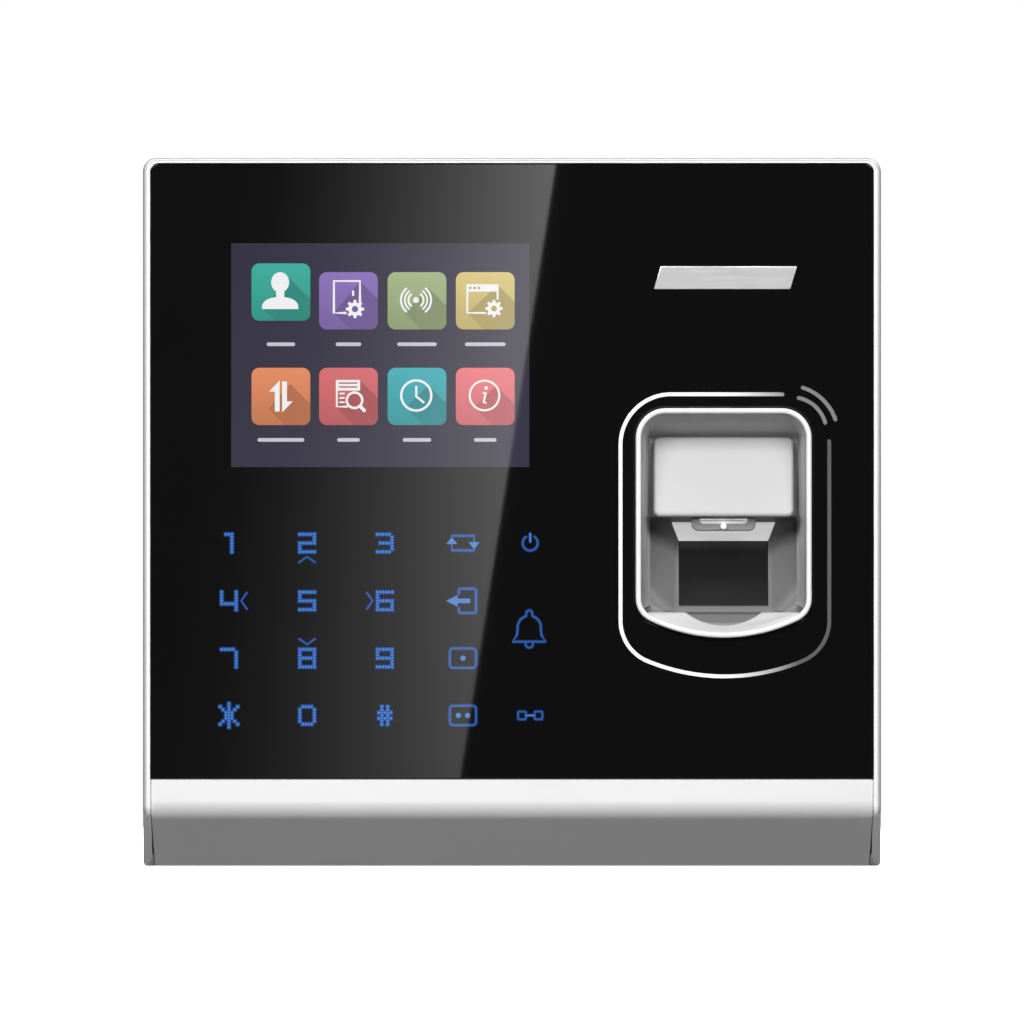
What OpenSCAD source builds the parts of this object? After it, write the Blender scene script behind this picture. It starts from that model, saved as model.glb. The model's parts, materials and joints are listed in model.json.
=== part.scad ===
// Wall-mounted fingerprint scanner terminal.
// A black glass front holds a display, backlit touch keys and a finger bay with an
// optical sensor. A silver frame with a sloping chin carries it, a dark rear cover
// closes it, and it hangs on a steel wall plate held by one screw from below.
// Millimetres. X runs to the right, Y from the front to the wall and Z up. The wall is
// the plane Y = 0, and the origin is the middle of the wall plate's screw pattern.

/* [Body] */
// Width of the silver frame
body_w = 152; // [150:0.5:156]
// Height of the silver frame
body_h = 146; // [145:0.5:150]
// Distance from the wall to the front of the glass
body_d = 32; // [32:0.5:36]
// Corner radius of the frame, seen from the front
frame_r = 2.9; // [2.5:0.1:5]
// Radius of the frame's lower corners
foot_r = 0.8; // [0.5:0.1:1.5]
// Wall thickness of the frame behind the glass
frame_wall = 1.8; // [1.6:0.1:2]
// How far the frame's lip stands in front of the glass
lip_proud = 0.4; // [0.2:0.1:0.6]

/* [Front glass] */
// Width of the glass
glass_w = 148.9; // [148:0.1:149]
// Height of the glass
glass_h = 126.8; // [126:0.1:127]
// Height of the glass's lower edge, measured from the middle of the body
glass_low = -55; // [-55.5:0.1:-55]
// Thickness of the glass
glass_t = 2; // [1.5:0.1:2]

/* [Chin] */
// Height at which the chin bends from upright to sloping
bend_z = -61.8; // [-62.5:0.1:-61]
// Radius of the bend
bend_r = 3; // [2:0.5:4]
// How far back the slope runs before it meets the underside
slope_run = 13; // [12:0.5:14]
// Thickness of the chin plate
chin_t = 1.8; // [1.5:0.1:1.9]

/* [Finger bay] */
// Middle of the bay, to the right of the body's middle
bay_x = 43.6; // [43:0.1:44]
// Half of the bezel's width
bay_half = 18.13; // [18:0.01:18.3]
// Top of the bezel
bay_top = 21.4; // [21.2:0.1:21.6]
// Lowest point of the bezel's curved bottom edge
bay_bottom = -25.95; // [-26.2:0.05:-25.8]
// Width of the bright rim
rim_w = 1.15; // [1:0.05:1.2]
// How far the rim stands in front of the glass
rim_proud = 1.2; // [0.8:0.1:1.5]
// Tilt of the sensor's window, back from the horizontal
sensor_tilt = 48.2; // [47:0.1:50]
// Width of the sensor's window
window_w = 18.5; // [18:0.1:18.6]
// Length of the sensor's window along its slope
window_l = 18; // [17.5:0.1:18.2]

/* [Display and keys] */
// Width of the display's visible picture
screen_w = 61.4; // [60:0.1:62]
// Height of the display's visible picture
screen_h = 46.1; // [45:0.1:47]
// Distance between neighbouring columns of keys
key_pitch_x = 16.05; // [15.5:0.05:16.2]
// Distance between neighbouring rows of keys
key_pitch_z = 11.8; // [11.5:0.1:12]

/* [Wall plate] */
// Width of the steel plate
plate_w = 104; // [100:1:106]
// Height of the steel plate
plate_h = 96; // [94:1:98]
// Thickness of the steel plate
plate_t = 1.5; // [1.2:0.1:1.5]
// Width between the wall screws
wall_hole_x = 88; // [84:1:90]
// Height between the wall screws
wall_hole_z = 76; // [72:1:78]
// Diameter of the wall screws' holes
wall_hole_d = 4.5; // [4:0.1:5]
// Width between the gang box slots
gang_pitch = 60; // [60:0.1:60.5]
// Length of the gang box slots
slot_l = 9; // [7:0.5:9]
// How far the terminal lifts before it comes off its hooks
lift = 7; // [6.5:0.1:7]

/* [Tamper switch] */
// How far the plunger comes out for each millimetre that the terminal lifts
ramp_slope = 0.2; // [0.15:0.01:0.2]
// Radius of the plunger
plunger_r = 2; // [1.8:0.1:2]

/* [Hidden] */
$fn = 48;

// Smallest gap between pieces that don't touch
gap = 0.1;
// Gap between sheets that lie against each other
skin = 0.05;
// Cuts run this far past the faces that they open
past = 1;

// Depths, from the front to the wall
glass_front = -body_d;
glass_back = glass_front + glass_t;
frame_front = glass_front - lip_proud;
ledge_front = glass_back + 0.3;
ledge_back = ledge_front + 1.5;
frame_back = -6;
chassis_front = glass_front + 6.9;
chassis_back = chassis_front + 2;
keypad_front = glass_front + 3.7;
keypad_back = keypad_front + 1.2;
antenna_front = glass_front + 2.4;
antenna_back = antenna_front + 0.8;
board_front = -15;
board_back = -13.4;
cover_back = -0.8;
tongue_front = -8.5;
boss_back = tongue_front - 0.2;
recess_back = -4.2;
recess_front = -6.2;

// Heights
half_w = body_w / 2;
half_h = body_h / 2;
glass_high = glass_low + glass_h;
bar_low = glass_low - 2.5;
bar_high = glass_low + 2.5;

// The slope's inward normal, from the line between the bend and the underside
slope_drop = half_h + bend_z;
slope_len = norm([slope_run, slope_drop]);
slope_ny = slope_drop / slope_len;
slope_nz = slope_run / slope_len;

// The finger bay's outline
bay_r_top = 6.2;
bay_r_low = 5;
bay_r_arc = 35;
lip_z = -20.6;
scoop_r = 12.8;
scoop_z = -23.3 + scoop_r;

// The sensor's middle, and the trough around it
sensor_y = glass_front + 10;
sensor_z = -12.7;
trough_half = 16.9;
trough_rise = 4.6;
hood_half = 14.4;
hood_low = -1;
hood_high = 15.4;
stop_lean = atan2(4, 2.2);

// The display's and the keys' places
screen_x = -27.15;
screen_z = 32.3;
display_edge = 2.5;
key_x0 = -58.3;
key_z0 = -6.4;
indicator_x = 3.7;
key_light = [11, 8];

// Plates and boards, each as left, right, low and high
chassis_plate = [-63.5, 23, -57.6, 70.4];
main_plate = [-62, 22.5, -45.5, 45.5];
usb_tongue = [-52, -28, -60, -44];
keypad_plate = [-66, 11.5, -49.3, 1.5];
light_grid_plate = [-65.7, 11.2, -49, 1.2];
antenna_plate = [16.4, 70.8, -48, 38];
label_plate = [22, 52, 65, 70];
nameplate_corners = [[29.2, 45.9], [57.3, 45.9], [58.7, 50.6], [30.6, 50.6]];
nameplate_t = 0.15;

// Sockets and terminals, each as left, right, low and high
jack_box = [-22.5, -6.5, -0.5, 20.5];
jack_mouth = [-20.4, -8.6, -2, 14.5];
usb_box = [-46.6, -33.4, -71, -57];
wire_box = [0, 8, -20.4, 8];
wire_left_x = 2.5;
wire_right_x = 14.5;
wire_count = 8;
wire_pitch = 3.5;
power_box = [8, 19, 10.6, 20.6];
speaker_box = [35, 63, -71.1, -65.6];
speaker_front = -18.4;

// Screws and their bosses
case_boss_r = 3.5;
case_tube_r = 4.2;
case_shank_r = 1.5;
case_head_r = 2.8;
small_head_r = 2.2;
small_head_h = 1.5;
small_shank_r = 1;
case_boss_front = frame_front + 9.5;
case_holes = [for (x = [-67.5, 67.5], z = [-62, 65]) [x, z]];
chassis_holes = [for (x = [-50, 15], z = [-54.8, 67.4]) [x, z]];
board_holes = [for (x = [-59, 19.5], z = [-42, 42]) [x, z]];
wall_holes = [for (x = [-1, 1], z = [-1, 1]) [x * wall_hole_x / 2, z * wall_hole_z / 2]];

// The hooks, the window for the cables and the security screw
hook_x = 41;
hook_z = [-24, 20];
hook_w = 8;
hook_front = recess_front - 0.4 - plate_t;
hook_up = 5;
cable_half_w = 24;
cable_half_h = 21;
tab_z = -70.5;
tab_half = 7;
tab_front = -12;
screw_y = -7;
security_head_r = 2.8;
security_head_h = 1.9;
insert_r = 2.4;

// The tamper plunger sits on a ramp on the wall plate
tamper_x = -42;
ramp_y0 = -3.3;
ramp_half = 3.5;
tip_y = ramp_y0 - (plunger_r + 0.05) * sqrt(1 + ramp_slope * ramp_slope);
guide_front = -7.2;
flange_back = guide_front - gap - lift * ramp_slope;

// The reset switch
reset_x = -2.5;
reset_z = 15;
reset_half = 3;
cap_r = 1.7;

silver = "#d9dadc";
bright_silver = "#f0f0f1";
mid_grey = "#7c7d7f";
black = "#141415";
dark_plastic = "#2c2d30";
steel = "#b9bcc0";
board_green = "#1f5d3a";
terminal_green = "#3f8f56";
cable_white = "#e9e4d2";

// ---------------------------------------------------------------- helpers

// A flat shape in X and Z, given depth along Y
module along_y(y0, y1)
    translate([0, y1, 0]) rotate([90, 0, 0]) linear_extrude(y1 - y0) children();

// A flat shape in Y and Z, given width along X
module along_x(x0, x1)
    translate([x0, 0, 0]) rotate([90, 0, 90]) linear_extrude(x1 - x0) children();

// A flat shape in X and Y, given height along Z
module along_z(z0, z1)
    translate([0, 0, z0]) linear_extrude(z1 - z0) children();

module block(lo, hi) translate(lo) cube(hi - lo);

module rod_y(x, z, r, y0, y1)
    translate([x, y1, z]) rotate([90, 0, 0]) cylinder(r = r, h = y1 - y0);

module rect(x0, x1, z0, z1) translate([x0, z0]) square([x1 - x0, z1 - z0]);

module rounded(x0, x1, z0, z1, r) {
    rect(x0 + r, x1 - r, z0, z1);
    rect(x0, x1, z0 + r, z1 - r);
    for (x = [x0 + r, x1 - r], z = [z0 + r, z1 - r]) translate([x, z]) circle(r);
}

// A plate given as left, right, low and high, grown by g
module panel(p, r, g = 0) rounded(p[0] - g, p[1] + g, p[2] - g, p[3] + g, r);

// A box given as left, right, low and high, between two depths
module box_y(p, y0, y1) block([p[0], y0, p[2]], [p[1], y1, p[3]]);

// A slot along X with round ends
module slot(x, z, l, d) {
    square_l = l - d;
    rect(x - square_l / 2, x + square_l / 2, z - d / 2, z + d / 2);
    for (side = [-1, 1]) translate([x + side * square_l / 2, z]) circle(d / 2);
}

function arc(x, z, r, a0, a1, n = 8) =
    [for (i = [0:n]) let (a = a0 + (a1 - a0) * i / n) [x + r * cos(a), z + r * sin(a)]];

// The arc's points without its two ends
function inner_arc(x, z, r, a0, a1, n = 16) =
    [for (i = [1:n - 1]) let (a = a0 + (a1 - a0) * i / n) [x + r * cos(a), z + r * sin(a)]];

// The bay's outline, grown by g: round upper corners, upright sides and a bowed bottom
function bay_points(g) =
    let (
        cz = bay_bottom + bay_r_arc,
        side = bay_half - bay_r_low,
        low = cz - sqrt(pow(bay_r_arc - bay_r_low, 2) - side * side),
        t = atan2(low - cz, side),
        top = bay_top - bay_r_top,
        corner = bay_half - bay_r_top
    )
    concat(
        arc(corner, top, bay_r_top + g, 0, 90),
        arc(-corner, top, bay_r_top + g, 90, 180),
        arc(-side, low, bay_r_low + g, 180, 180 - t),
        inner_arc(0, cz, bay_r_arc + g, 180 - t, 360 + t),
        arc(side, low, bay_r_low + g, 360 + t, 360)
    );

module bay(g) translate([bay_x, 0]) polygon(bay_points(g));

// The frame's lower corners are nearly square
module frame_outline() {
    rounded(-half_w, half_w, -half_h / 2, half_h, frame_r);
    rounded(-half_w, half_w, -half_h, 0, foot_r);
}

module glass_outline(g) {
    rounded(-glass_w / 2 - g, glass_w / 2 + g, glass_low - g, glass_high + g, 1.9);
    rect(-glass_w / 2 - g, glass_w / 2 + g, glass_low - g, 0);
}

// The terminal's outline from the side, inset by g: upright front, round bend and slope
module side_profile(g) {
    cy = frame_front + bend_r;
    cz = bend_z + bend_r * (1 - slope_ny) / slope_nz;
    low_y = frame_front + (g + slope_nz * slope_drop) / slope_ny;
    turn = atan2(slope_nz, slope_ny);
    polygon(concat(
        [[20, -half_h], [20, half_h + 5], [frame_front + g, half_h + 5]],
        arc(cy, cz, bend_r - g, 180, 180 + turn),
        [[low_y, -half_h]]
    ));
}

// The chin from the front: it narrows along the slope
module chin_view(g) {
    x0 = glass_w / 2 - gap + g;
    x1 = x0 - 0.7;
    polygon([
        [-x0, glass_low - gap], [x0, glass_low - gap], [x0, bend_z],
        [x1, -half_h - past], [-x1, -half_h - past], [-x0, bend_z]
    ]);
}

// Puts a shape in the sensor's own frame: X across, Y up its slope, Z out of its window
module at_sensor() translate([bay_x, sensor_y, sensor_z]) rotate([sensor_tilt, 0, 0]) children();

module sensor_block(half_x, l0, l1, depth0, depth1)
    block([-half_x, l0, depth0], [half_x, l1, depth1]);

// A thin strip along a path of points, for a flat cable
module strip(path, t)
    for (i = [0:len(path) - 2]) hull() {
        translate(path[i]) circle(t / 2, $fn = 8);
        translate(path[i + 1]) circle(t / 2, $fn = 8);
    }

// A cross-recessed screw along Y with its head towards the wall, at head_y
module screw_y_axis(x, z, head_y, head_r, head_h, shank_r, length)
    difference() {
        union() {
            rod_y(x, z, head_r, head_y - head_h, head_y);
            rod_y(x, z, shank_r, head_y - head_h - length, head_y - head_h);
        }
        for (turn = [0, 90])
            translate([x, head_y, z]) rotate([0, turn, 0])
                block([-head_r * 0.6, -head_h * 0.5, -0.25], [head_r * 0.6, past, 0.25]);
    }

// ---------------------------------------------------------------- wall plate

module hook(x, z) {
    block([x - hook_w / 2, hook_front, z], [x + hook_w / 2, -plate_t / 2, z + plate_t]);
    block([x - hook_w / 2, hook_front, z], [x + hook_w / 2, hook_front + plate_t, z + hook_up]);
}

module tamper_ramp()
    along_x(tamper_x - ramp_half, tamper_x + ramp_half)
        polygon([
            [-plate_t + 0.1, -5], [ramp_y0 - 3 * ramp_slope, -3],
            [-plate_t, (-plate_t - ramp_y0) / ramp_slope],
            [-plate_t + 0.1, (-plate_t - ramp_y0) / ramp_slope]
        ]);

module wall_plate() color(steel) difference() {
    union() {
        along_y(-plate_t, 0) difference() {
            union() {
                rounded(-plate_w / 2, plate_w / 2, -plate_h / 2, plate_h / 2, 4);
                rect(-tab_half, tab_half, tab_z, -plate_h / 2 + past);
            }
            rounded(-cable_half_w, cable_half_w, -cable_half_h, cable_half_h, 3);
            for (p = wall_holes) translate(p) circle(wall_hole_d / 2);
            for (x = [-gang_pitch / 2, gang_pitch / 2]) slot(x, 0, slot_l, wall_hole_d);
            // Openings that the hooks are bent out of
            for (x = [-hook_x, hook_x], z = hook_z)
                rounded(x - hook_w / 2 - 1, x + hook_w / 2 + 1, z - 9, z - 0.5, 1);
        }
        for (x = [-hook_x, hook_x], z = hook_z) hook(x, z);
        tamper_ramp();
        block([-tab_half, tab_front, tab_z], [tab_half, -plate_t / 2, tab_z + plate_t]);
    }
    translate([0, screw_y, tab_z - past]) cylinder(r = case_shank_r + 0.2, h = plate_t + 2 * past);
}

module security_screw() color(steel) difference() {
    union() {
        translate([0, screw_y, tab_z - security_head_h]) cylinder(r = security_head_r, h = security_head_h);
        translate([0, screw_y, tab_z]) cylinder(r = case_shank_r, h = 10);
    }
    // Six-lobed socket with a pin in its middle
    translate([0, screw_y, tab_z - security_head_h - past]) difference() {
        cylinder(r = 1.3, h = past + 1.1, $fn = 6);
        cylinder(r = 0.45, h = past + 2, $fn = 16);
    }
}

// ---------------------------------------------------------------- silver frame

module case_boss(p) {
    front = p[1] < 0 ? case_boss_front : ledge_back;
    wall_x = sign(p[0]) * (half_w - 1);
    rod_y(p[0], p[1], case_boss_r, front, boss_back);
    block([min(p[0], wall_x), front, p[1] - 1], [max(p[0], wall_x), boss_back, p[1] + 1]);
}

module usb_opening(g)
    block([usb_box[0] - g, board_back - gap - g, -half_h - past], [usb_box[1] + g, boss_back + gap + g, -half_h + 4]);

// Slots in the frame's underside, below the speaker
module speaker_slots()
    for (i = [0:6]) let (x = 38.4 + 3.2 * i)
        block([x, -17, -half_h - past], [x + 1.4, -9.5, -half_h + 4]);

module front_frame() color(silver) difference() {
    intersection() {
        union() {
            difference() {
                along_y(frame_front, frame_back) frame_outline();
                along_y(frame_front - past, ledge_front) glass_outline(gap);
                along_y(frame_front - past, ledge_back + gap) rect(-71.5, 71.5, bar_high, glass_high - 2.8);
                along_y(frame_front - past, ledge_back + gap)
                    rect(-72.5, 72.5, -half_h + frame_wall, bar_low);
                along_y(ledge_back, frame_back + past)
                    rounded(-half_w + frame_wall, half_w - frame_wall,
                        -half_h + frame_wall, half_h - frame_wall, 1.2);
                intersection() {
                    along_x(-half_w, half_w) difference() {
                        side_profile(-5);
                        side_profile(0.2 + chin_t + gap / 2);
                    }
                    along_y(frame_front - 5, frame_back) chin_view(gap);
                }
            }
            for (p = case_holes) case_boss(p);
            for (p = chassis_holes) rod_y(p[0], p[1], 2.6, ledge_back, chassis_front);
            // Ribs that tie the upper chassis bosses to the ledge
            for (p = chassis_holes) if (p[1] > 0)
                block([p[0] - 1, ledge_back, p[1]], [p[0] + 1, chassis_front, half_h - 1]);
        }
        along_x(-half_w, half_w) side_profile(0);
    }
    for (p = case_holes) rod_y(p[0], p[1], 1.55, -21, past);
    for (p = chassis_holes) rod_y(p[0], p[1], 1.05, ledge_back - past / 2, 0);
    usb_opening(0.2);
    speaker_slots();
    block([-tab_half - 1.5, tab_front - 1, -half_h - past], [tab_half + 1.5, past, -half_h + 2]);
}

module chin_trim() color(silver) intersection() {
    along_x(-half_w, half_w) difference() {
        side_profile(0.2);
        side_profile(0.2 + chin_t);
    }
    along_y(frame_front - 5, frame_back) chin_view(0);
}

// ---------------------------------------------------------------- front glass

module front_glass() color(black) along_y(glass_front, glass_back) difference() {
    glass_outline(0);
    bay(0.25);
}

module glass_adhesive() color("#3b3b3d") along_y(glass_back, ledge_front) difference() {
    glass_outline(-0.2);
    rect(-72, 72, bar_high - 0.5, glass_high - 2.3);
}

module nameplate() color(bright_silver)
    along_y(glass_front - nameplate_t, glass_front) polygon(nameplate_corners);

// ---------------------------------------------------------------- finger bay

module scanner_bezel() color(bright_silver) {
    along_y(glass_front - rim_proud, glass_front + 4.5) difference() {
        bay(0);
        bay(-rim_w);
    }
    along_y(glass_back + 0.05, glass_back + 1.05) difference() {
        bay(2);
        bay(-rim_w / 2);
    }
    // Lower lip, scooped out for the finger
    difference() {
        intersection() {
            along_x(bay_x - bay_half, bay_x + bay_half) polygon([
                [glass_front - 0.1, bay_bottom], [glass_front + 2.4, lip_z],
                [glass_front + 3.6, lip_z], [glass_front + 3.6, bay_bottom]
            ]);
            along_y(glass_front - 1, glass_front + 4) bay(-rim_w / 2);
        }
        along_y(glass_front - 2, glass_front + 5) translate([bay_x, scoop_z]) circle(scoop_r);
    }
}

// The trough widens from the window's edge up to its full width, and then runs out forwards
module trough() at_sensor() intersection() {
    foot = window_w / 2 + 0.3;
    along_y(-15.8, 11.8) polygon([
        [-foot, 0], [foot, 0], [trough_half, trough_rise], [trough_half, 24],
        [-trough_half, 24], [-trough_half, trough_rise]
    ]);
    along_x(-trough_half, trough_half) polygon([
        [-13, 0], [9.3, 0], [11.8, trough_rise], [11.8, 24], [-15.8, 24], [-15.8, trough_rise]
    ]);
}

// The pocket over the sensor, with a ceiling that slopes in
module upper_pocket() along_x(bay_x - trough_half, bay_x + trough_half) polygon([
    [glass_front - 5, 20], [glass_front + 0.5, 20], [glass_front + 9, 15.9],
    [glass_front + 10.5, 15.9], [glass_front + 10.5, hood_low], [glass_front - 5, hood_low]
]);

module finger_channel() color(mid_grey) difference() {
    union() {
        along_y(glass_front + 0.6, glass_front + 4.6) bay(-rim_w - gap);
        along_y(glass_front + 4.6, glass_front + 12.5) bay(-0.3);
        intersection() {
            along_y(glass_front + 12, board_back) bay(-0.3);
            block([0, -40, -30], [half_w, 0, 1.5]);
        }
    }
    intersection() {
        union() {
            upper_pocket();
            trough();
        }
        along_y(glass_front - 5, 0) bay(-rim_w - 1);
    }
    // Room for the bezel's lower lip
    along_x(bay_x - bay_half, bay_x + bay_half)
        rect(glass_front - 1, glass_front + 3.7, bay_bottom - 1, lip_z + gap);
    // Behind the sloping floor
    at_sensor() sensor_block(20, -11.6, 30, -30, -2);
    // Window for the sensor
    at_sensor() sensor_block(window_w / 2, -window_l / 2, window_l / 2, -3, 1);
}

// The hood's front leans, so that its lower edge is nearest the user
module scanner_hood() color(bright_silver) intersection() {
    along_x(bay_x - hood_half, bay_x + hood_half) polygon([
        [glass_front + 4.5, hood_low], [glass_front + 7.5, hood_high],
        [glass_front + 10.4, hood_high], [glass_front + 10.4, hood_low]
    ]);
    along_y(glass_front, glass_front + 12)
        rounded(bay_x - hood_half, bay_x + hood_half, hood_low, hood_high, 1.4);
}

module finger_stop() color(bright_silver)
    at_sensor() translate([0, 9.3, 0]) rotate([stop_lean, 0, 0])
        translate([0, 0, 0.05]) linear_extrude(1)
            polygon([[-9.2, 0.6], [9.2, 0.6], [10.6, 3.9], [-10.6, 3.9]]);

module status_light_bar() color(silver) difference() {
    along_y(glass_front + 6.2, glass_front + 10.3)
        rounded(bay_x - 6.6, bay_x + 6.6, hood_low - 2.9, hood_low, 1.1);
    translate([bay_x, glass_front + 6.2, hood_low - 2]) sphere(r = 0.7);
}

module status_light_lens() color("#f4f8ff")
    translate([bay_x, glass_front + 6.2, hood_low - 2]) sphere(r = 0.65);

module sensor_window() color("#101013") at_sensor() {
    sensor_block(window_w / 2 - 0.05, -window_l / 2 + 0.05, window_l / 2 - 0.05, -2.1, -0.1);
    sensor_block(10, -9.6, 9.6, -3.2, -2.1);
}

module sensor_prism() color("#a9c4d6") at_sensor()
    rotate([90, 0, 90]) translate([0, 0, -8.8]) linear_extrude(17.6)
        polygon([[-9.4, -3.25], [9.4, -3.25], [9.4, -5.5], [-4, -7.6], [-9.4, -7.6]]);

module sensor_housing() color(black) at_sensor() difference() {
    sensor_block(11.4, -10.9, 10.9, -10.4, -2.05);
    sensor_block(10.1, -9.7, 9.7, -9.6, -2);
    sensor_block(8, 7, 12, -9.4, -8.6);
}

module sensor_camera() color("#26323a") at_sensor() {
    sensor_block(9, -9, 6, -9.55, -8.6);
    translate([0, -4, -8.6]) cylinder(r = 2.4, h = 0.9);
}

module sensor_ribbon() color(cable_white) along_z(-19.5, -12.5)
    strip([[32, -15.6], [29.5, -16.2], [27, -17.9], [24.4, -18], [22.3, -16.3]], 0.3);

// ---------------------------------------------------------------- display

module display_outline(g) {
    x = screen_w / 2 + display_edge + g;
    z = screen_h / 2 + display_edge + g;
    rounded(screen_x - x, screen_x + x, screen_z - z, screen_z + z, 0.8);
}

module display_tray() color(steel) difference() {
    along_y(antenna_front, chassis_front) display_outline(1);
    along_y(glass_front, chassis_front - 0.4) display_outline(gap);
    block([screen_x - 9, glass_front, screen_z - 30], [screen_x + 9, glass_front + 5, screen_z - 20]);
}

module display_backlight() color("#f3f6fb")
    along_y(keypad_front, chassis_front - 0.4) display_outline(0);

module display_panel() color("#2f2c45")
    along_y(glass_back + skin, keypad_front - skin) display_outline(0);

module display_ribbon() color("#c8822e") along_x(screen_x - 8, screen_x + 8)
    strip([[glass_front + 4.2, screen_z - 25.8], [glass_front + 4.4, 4.1], [glass_front + 5.8, 2.9],
        [chassis_back + 2, 2.9], [-18.2, 1.5], [-16.4, 0.2]], 0.3);

// ---------------------------------------------------------------- touch keys

key_places = concat(
    [for (c = [0:3], r = [0:3]) [key_x0 + c * key_pitch_x, key_z0 - r * key_pitch_z]],
    [for (r = [0, 1.5, 3]) [indicator_x, key_z0 - r * key_pitch_z]]
);

module key_light_grid() color("#232326") along_y(glass_back + skin, keypad_front - gap) difference() {
    panel(light_grid_plate, 1);
    for (p = key_places) translate(p) square(key_light, center = true);
}

module key_leds() color("#dfe9ff")
    for (p = key_places, side = [-3, 3])
        translate([p[0] + side, 0, p[1]]) block([-0.8, keypad_front - 0.8, -0.4], [0.8, keypad_front, 0.4]);

module keypad_board() color(board_green) {
    along_y(keypad_front, keypad_back) panel(keypad_plate, 1);
    // Touch controller and the socket for its ribbon
    box_y([-20, -13, -32, -25], keypad_back, keypad_back + 0.8);
    box_y([-35, -21, -46, -43], keypad_back, keypad_back + 1);
}

module keypad_ribbon() color(cable_white) along_x(-34, -22)
    strip([[glass_front + 5.4, -46.2], [glass_front + 5.7, -48.4], [chassis_back + 1.4, -48.4],
        [-19.5, -45.6], [-16.4, -38.4]], 0.3);

// ---------------------------------------------------------------- card reader antenna

module card_antenna_board() color(board_green) along_y(antenna_front, antenna_back) difference() {
    panel(antenna_plate, 2);
    bay(2.4);
}

module card_antenna_coil() color("#c77a3d")
    for (i = [0:3]) along_y(antenna_back, antenna_back + 0.1) difference() {
        inset = 1 + 1.5 * i;
        track_w = 0.9;
        panel(antenna_plate, 2, -inset);
        panel(antenna_plate, 1.2, -inset - track_w);
    }

// ---------------------------------------------------------------- chassis

module chassis() color(dark_plastic) difference() {
    union() {
        along_y(chassis_front, chassis_back) panel(chassis_plate, 2);
        for (p = board_holes) rod_y(p[0], p[1], 3, chassis_back, board_front);
        // Pads that hold the keypad against the glass
        for (x = [-62, 8], z = [-46, -2]) rod_y(x, z, 2, keypad_back, chassis_front);
    }
    for (p = chassis_holes) rod_y(p[0], p[1], 1.35, glass_front, 0);
    for (p = board_holes) rod_y(p[0], p[1], 1.1, board_front - 6, 0);
    // Slots for the ribbons, and openings that save weight
    block([screen_x - 10, -40, 1.9], [screen_x + 10, -20, 3.9]);
    block([-36, -40, -49.6], [-20, -20, -47.2]);
    for (x = [-52, -12]) along_y(-40, -20) rounded(x, x + 26, 16, 48, 2);
    for (x = [-52, -12]) along_y(-40, -20) rounded(x, x + 14, -38, -10, 2);
}

module chassis_screws() color(steel)
    for (p = chassis_holes)
        screw_y_axis(p[0], p[1], chassis_back + small_head_h, small_head_r, small_head_h, small_shank_r, 5);

// ---------------------------------------------------------------- main board

module main_board() color(board_green) along_y(board_front, board_back) difference() {
    union() {
        panel(main_plate, 1.5);
        rect(usb_tongue[0], usb_tongue[1], usb_tongue[2], usb_tongue[3]);
    }
    for (p = board_holes) translate(p) circle(1.25);
}

module main_board_screws() color(steel)
    for (p = board_holes)
        screw_y_axis(p[0], p[1], board_back + small_head_h, small_head_r, small_head_h, small_shank_r, 6);

module processor() color(black) box_y([-31, -17, 14, 28], board_front - 1.4, board_front);

module shield_can() color(steel) difference() {
    box_y([-56, -36, 12, 34], board_front - 2.6, board_front);
    box_y([-55.7, -36.3, 12.3, 33.7], board_front - 2.3, board_front + past);
}

module lock_relay() color("#2b4fa2") box_y([0, 15.5, -38, -19], board_front - 7.2, board_front);

module capacitors() color("#3a4049")
    for (z = [-2, 8, 18]) rod_y(12, z, 3.15, board_front - 7, board_front);

// A coin cell in a round holder
battery_x = -46;
battery_z = -16;
battery_r = 10;

module battery_holder() color(black) difference() {
    rod_y(battery_x, battery_z, battery_r + 1.6, board_front - 3.9, board_front);
    rod_y(battery_x, battery_z, battery_r + 0.2, board_front - 6, board_front - 0.4);
}

module backup_battery() color(steel)
    rod_y(battery_x, battery_z, battery_r, board_front - 3.7, board_front - 0.5);

module ribbon_connectors() color("#e8e6e0") {
    box_y([screen_x - 9, screen_x + 9, -5, 0], board_front - 1.2, board_front);
    box_y([-35.5, -20.5, -43, -38.6], board_front - 1.2, board_front);
    box_y([17.5, 22, -21, -11], board_front - 1.1, board_front);
}

// ---------------------------------------------------------------- connectors

module ethernet_jack() color("#c9ccd0") difference() {
    box_y(jack_box, board_back, -1.9);
    box_y(jack_mouth, board_back + 1.6, -3.6);
    // Groove for the plug's latch
    box_y([-17.5, -11.5, -2, 10], -4, -2.7);
}

// A row of screw terminals: wires enter from one side, screws face the wall
module wiring_terminal() difference() {
    box_y(wire_box, board_back, -4.6);
    for (i = [0:wire_count - 1]) let (z = wire_box[2] + 2.1 + wire_pitch * i) {
        rod_y(4, z, 1.2, -6, 0);
        box_y([-0.5, 5.5, z - 1.2, z + 1.2], board_back + 1.2, board_back + 4);
    }
}

module wiring_terminal_left() color(terminal_green) translate([wire_left_x, 0, 0]) wiring_terminal();
module wiring_terminal_right() color(terminal_green) translate([wire_right_x, 0, 0]) wiring_terminal();

module power_terminal() color("#2f6fb0") difference() {
    box_y(power_box, board_back, -4.2);
    for (x = [10.9, 16.1]) {
        rod_y(x, 16.4, 1.7, -6, 0);
        box_y([x - 1.5, x + 1.5, 9, 14], board_back + 1.5, board_back + 5);
    }
}

module usb_port() color(steel) {
    difference() {
        box_y(usb_box, board_back, boss_back);
        box_y([usb_box[0] + 0.4, usb_box[1] - 0.4, -72, -58], board_back + 0.4, boss_back - 0.4);
    }
    box_y([usb_box[0] + 1, usb_box[1] - 1, -70, -57.5], board_back + 0.9, board_back + 2.3);
}

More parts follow.
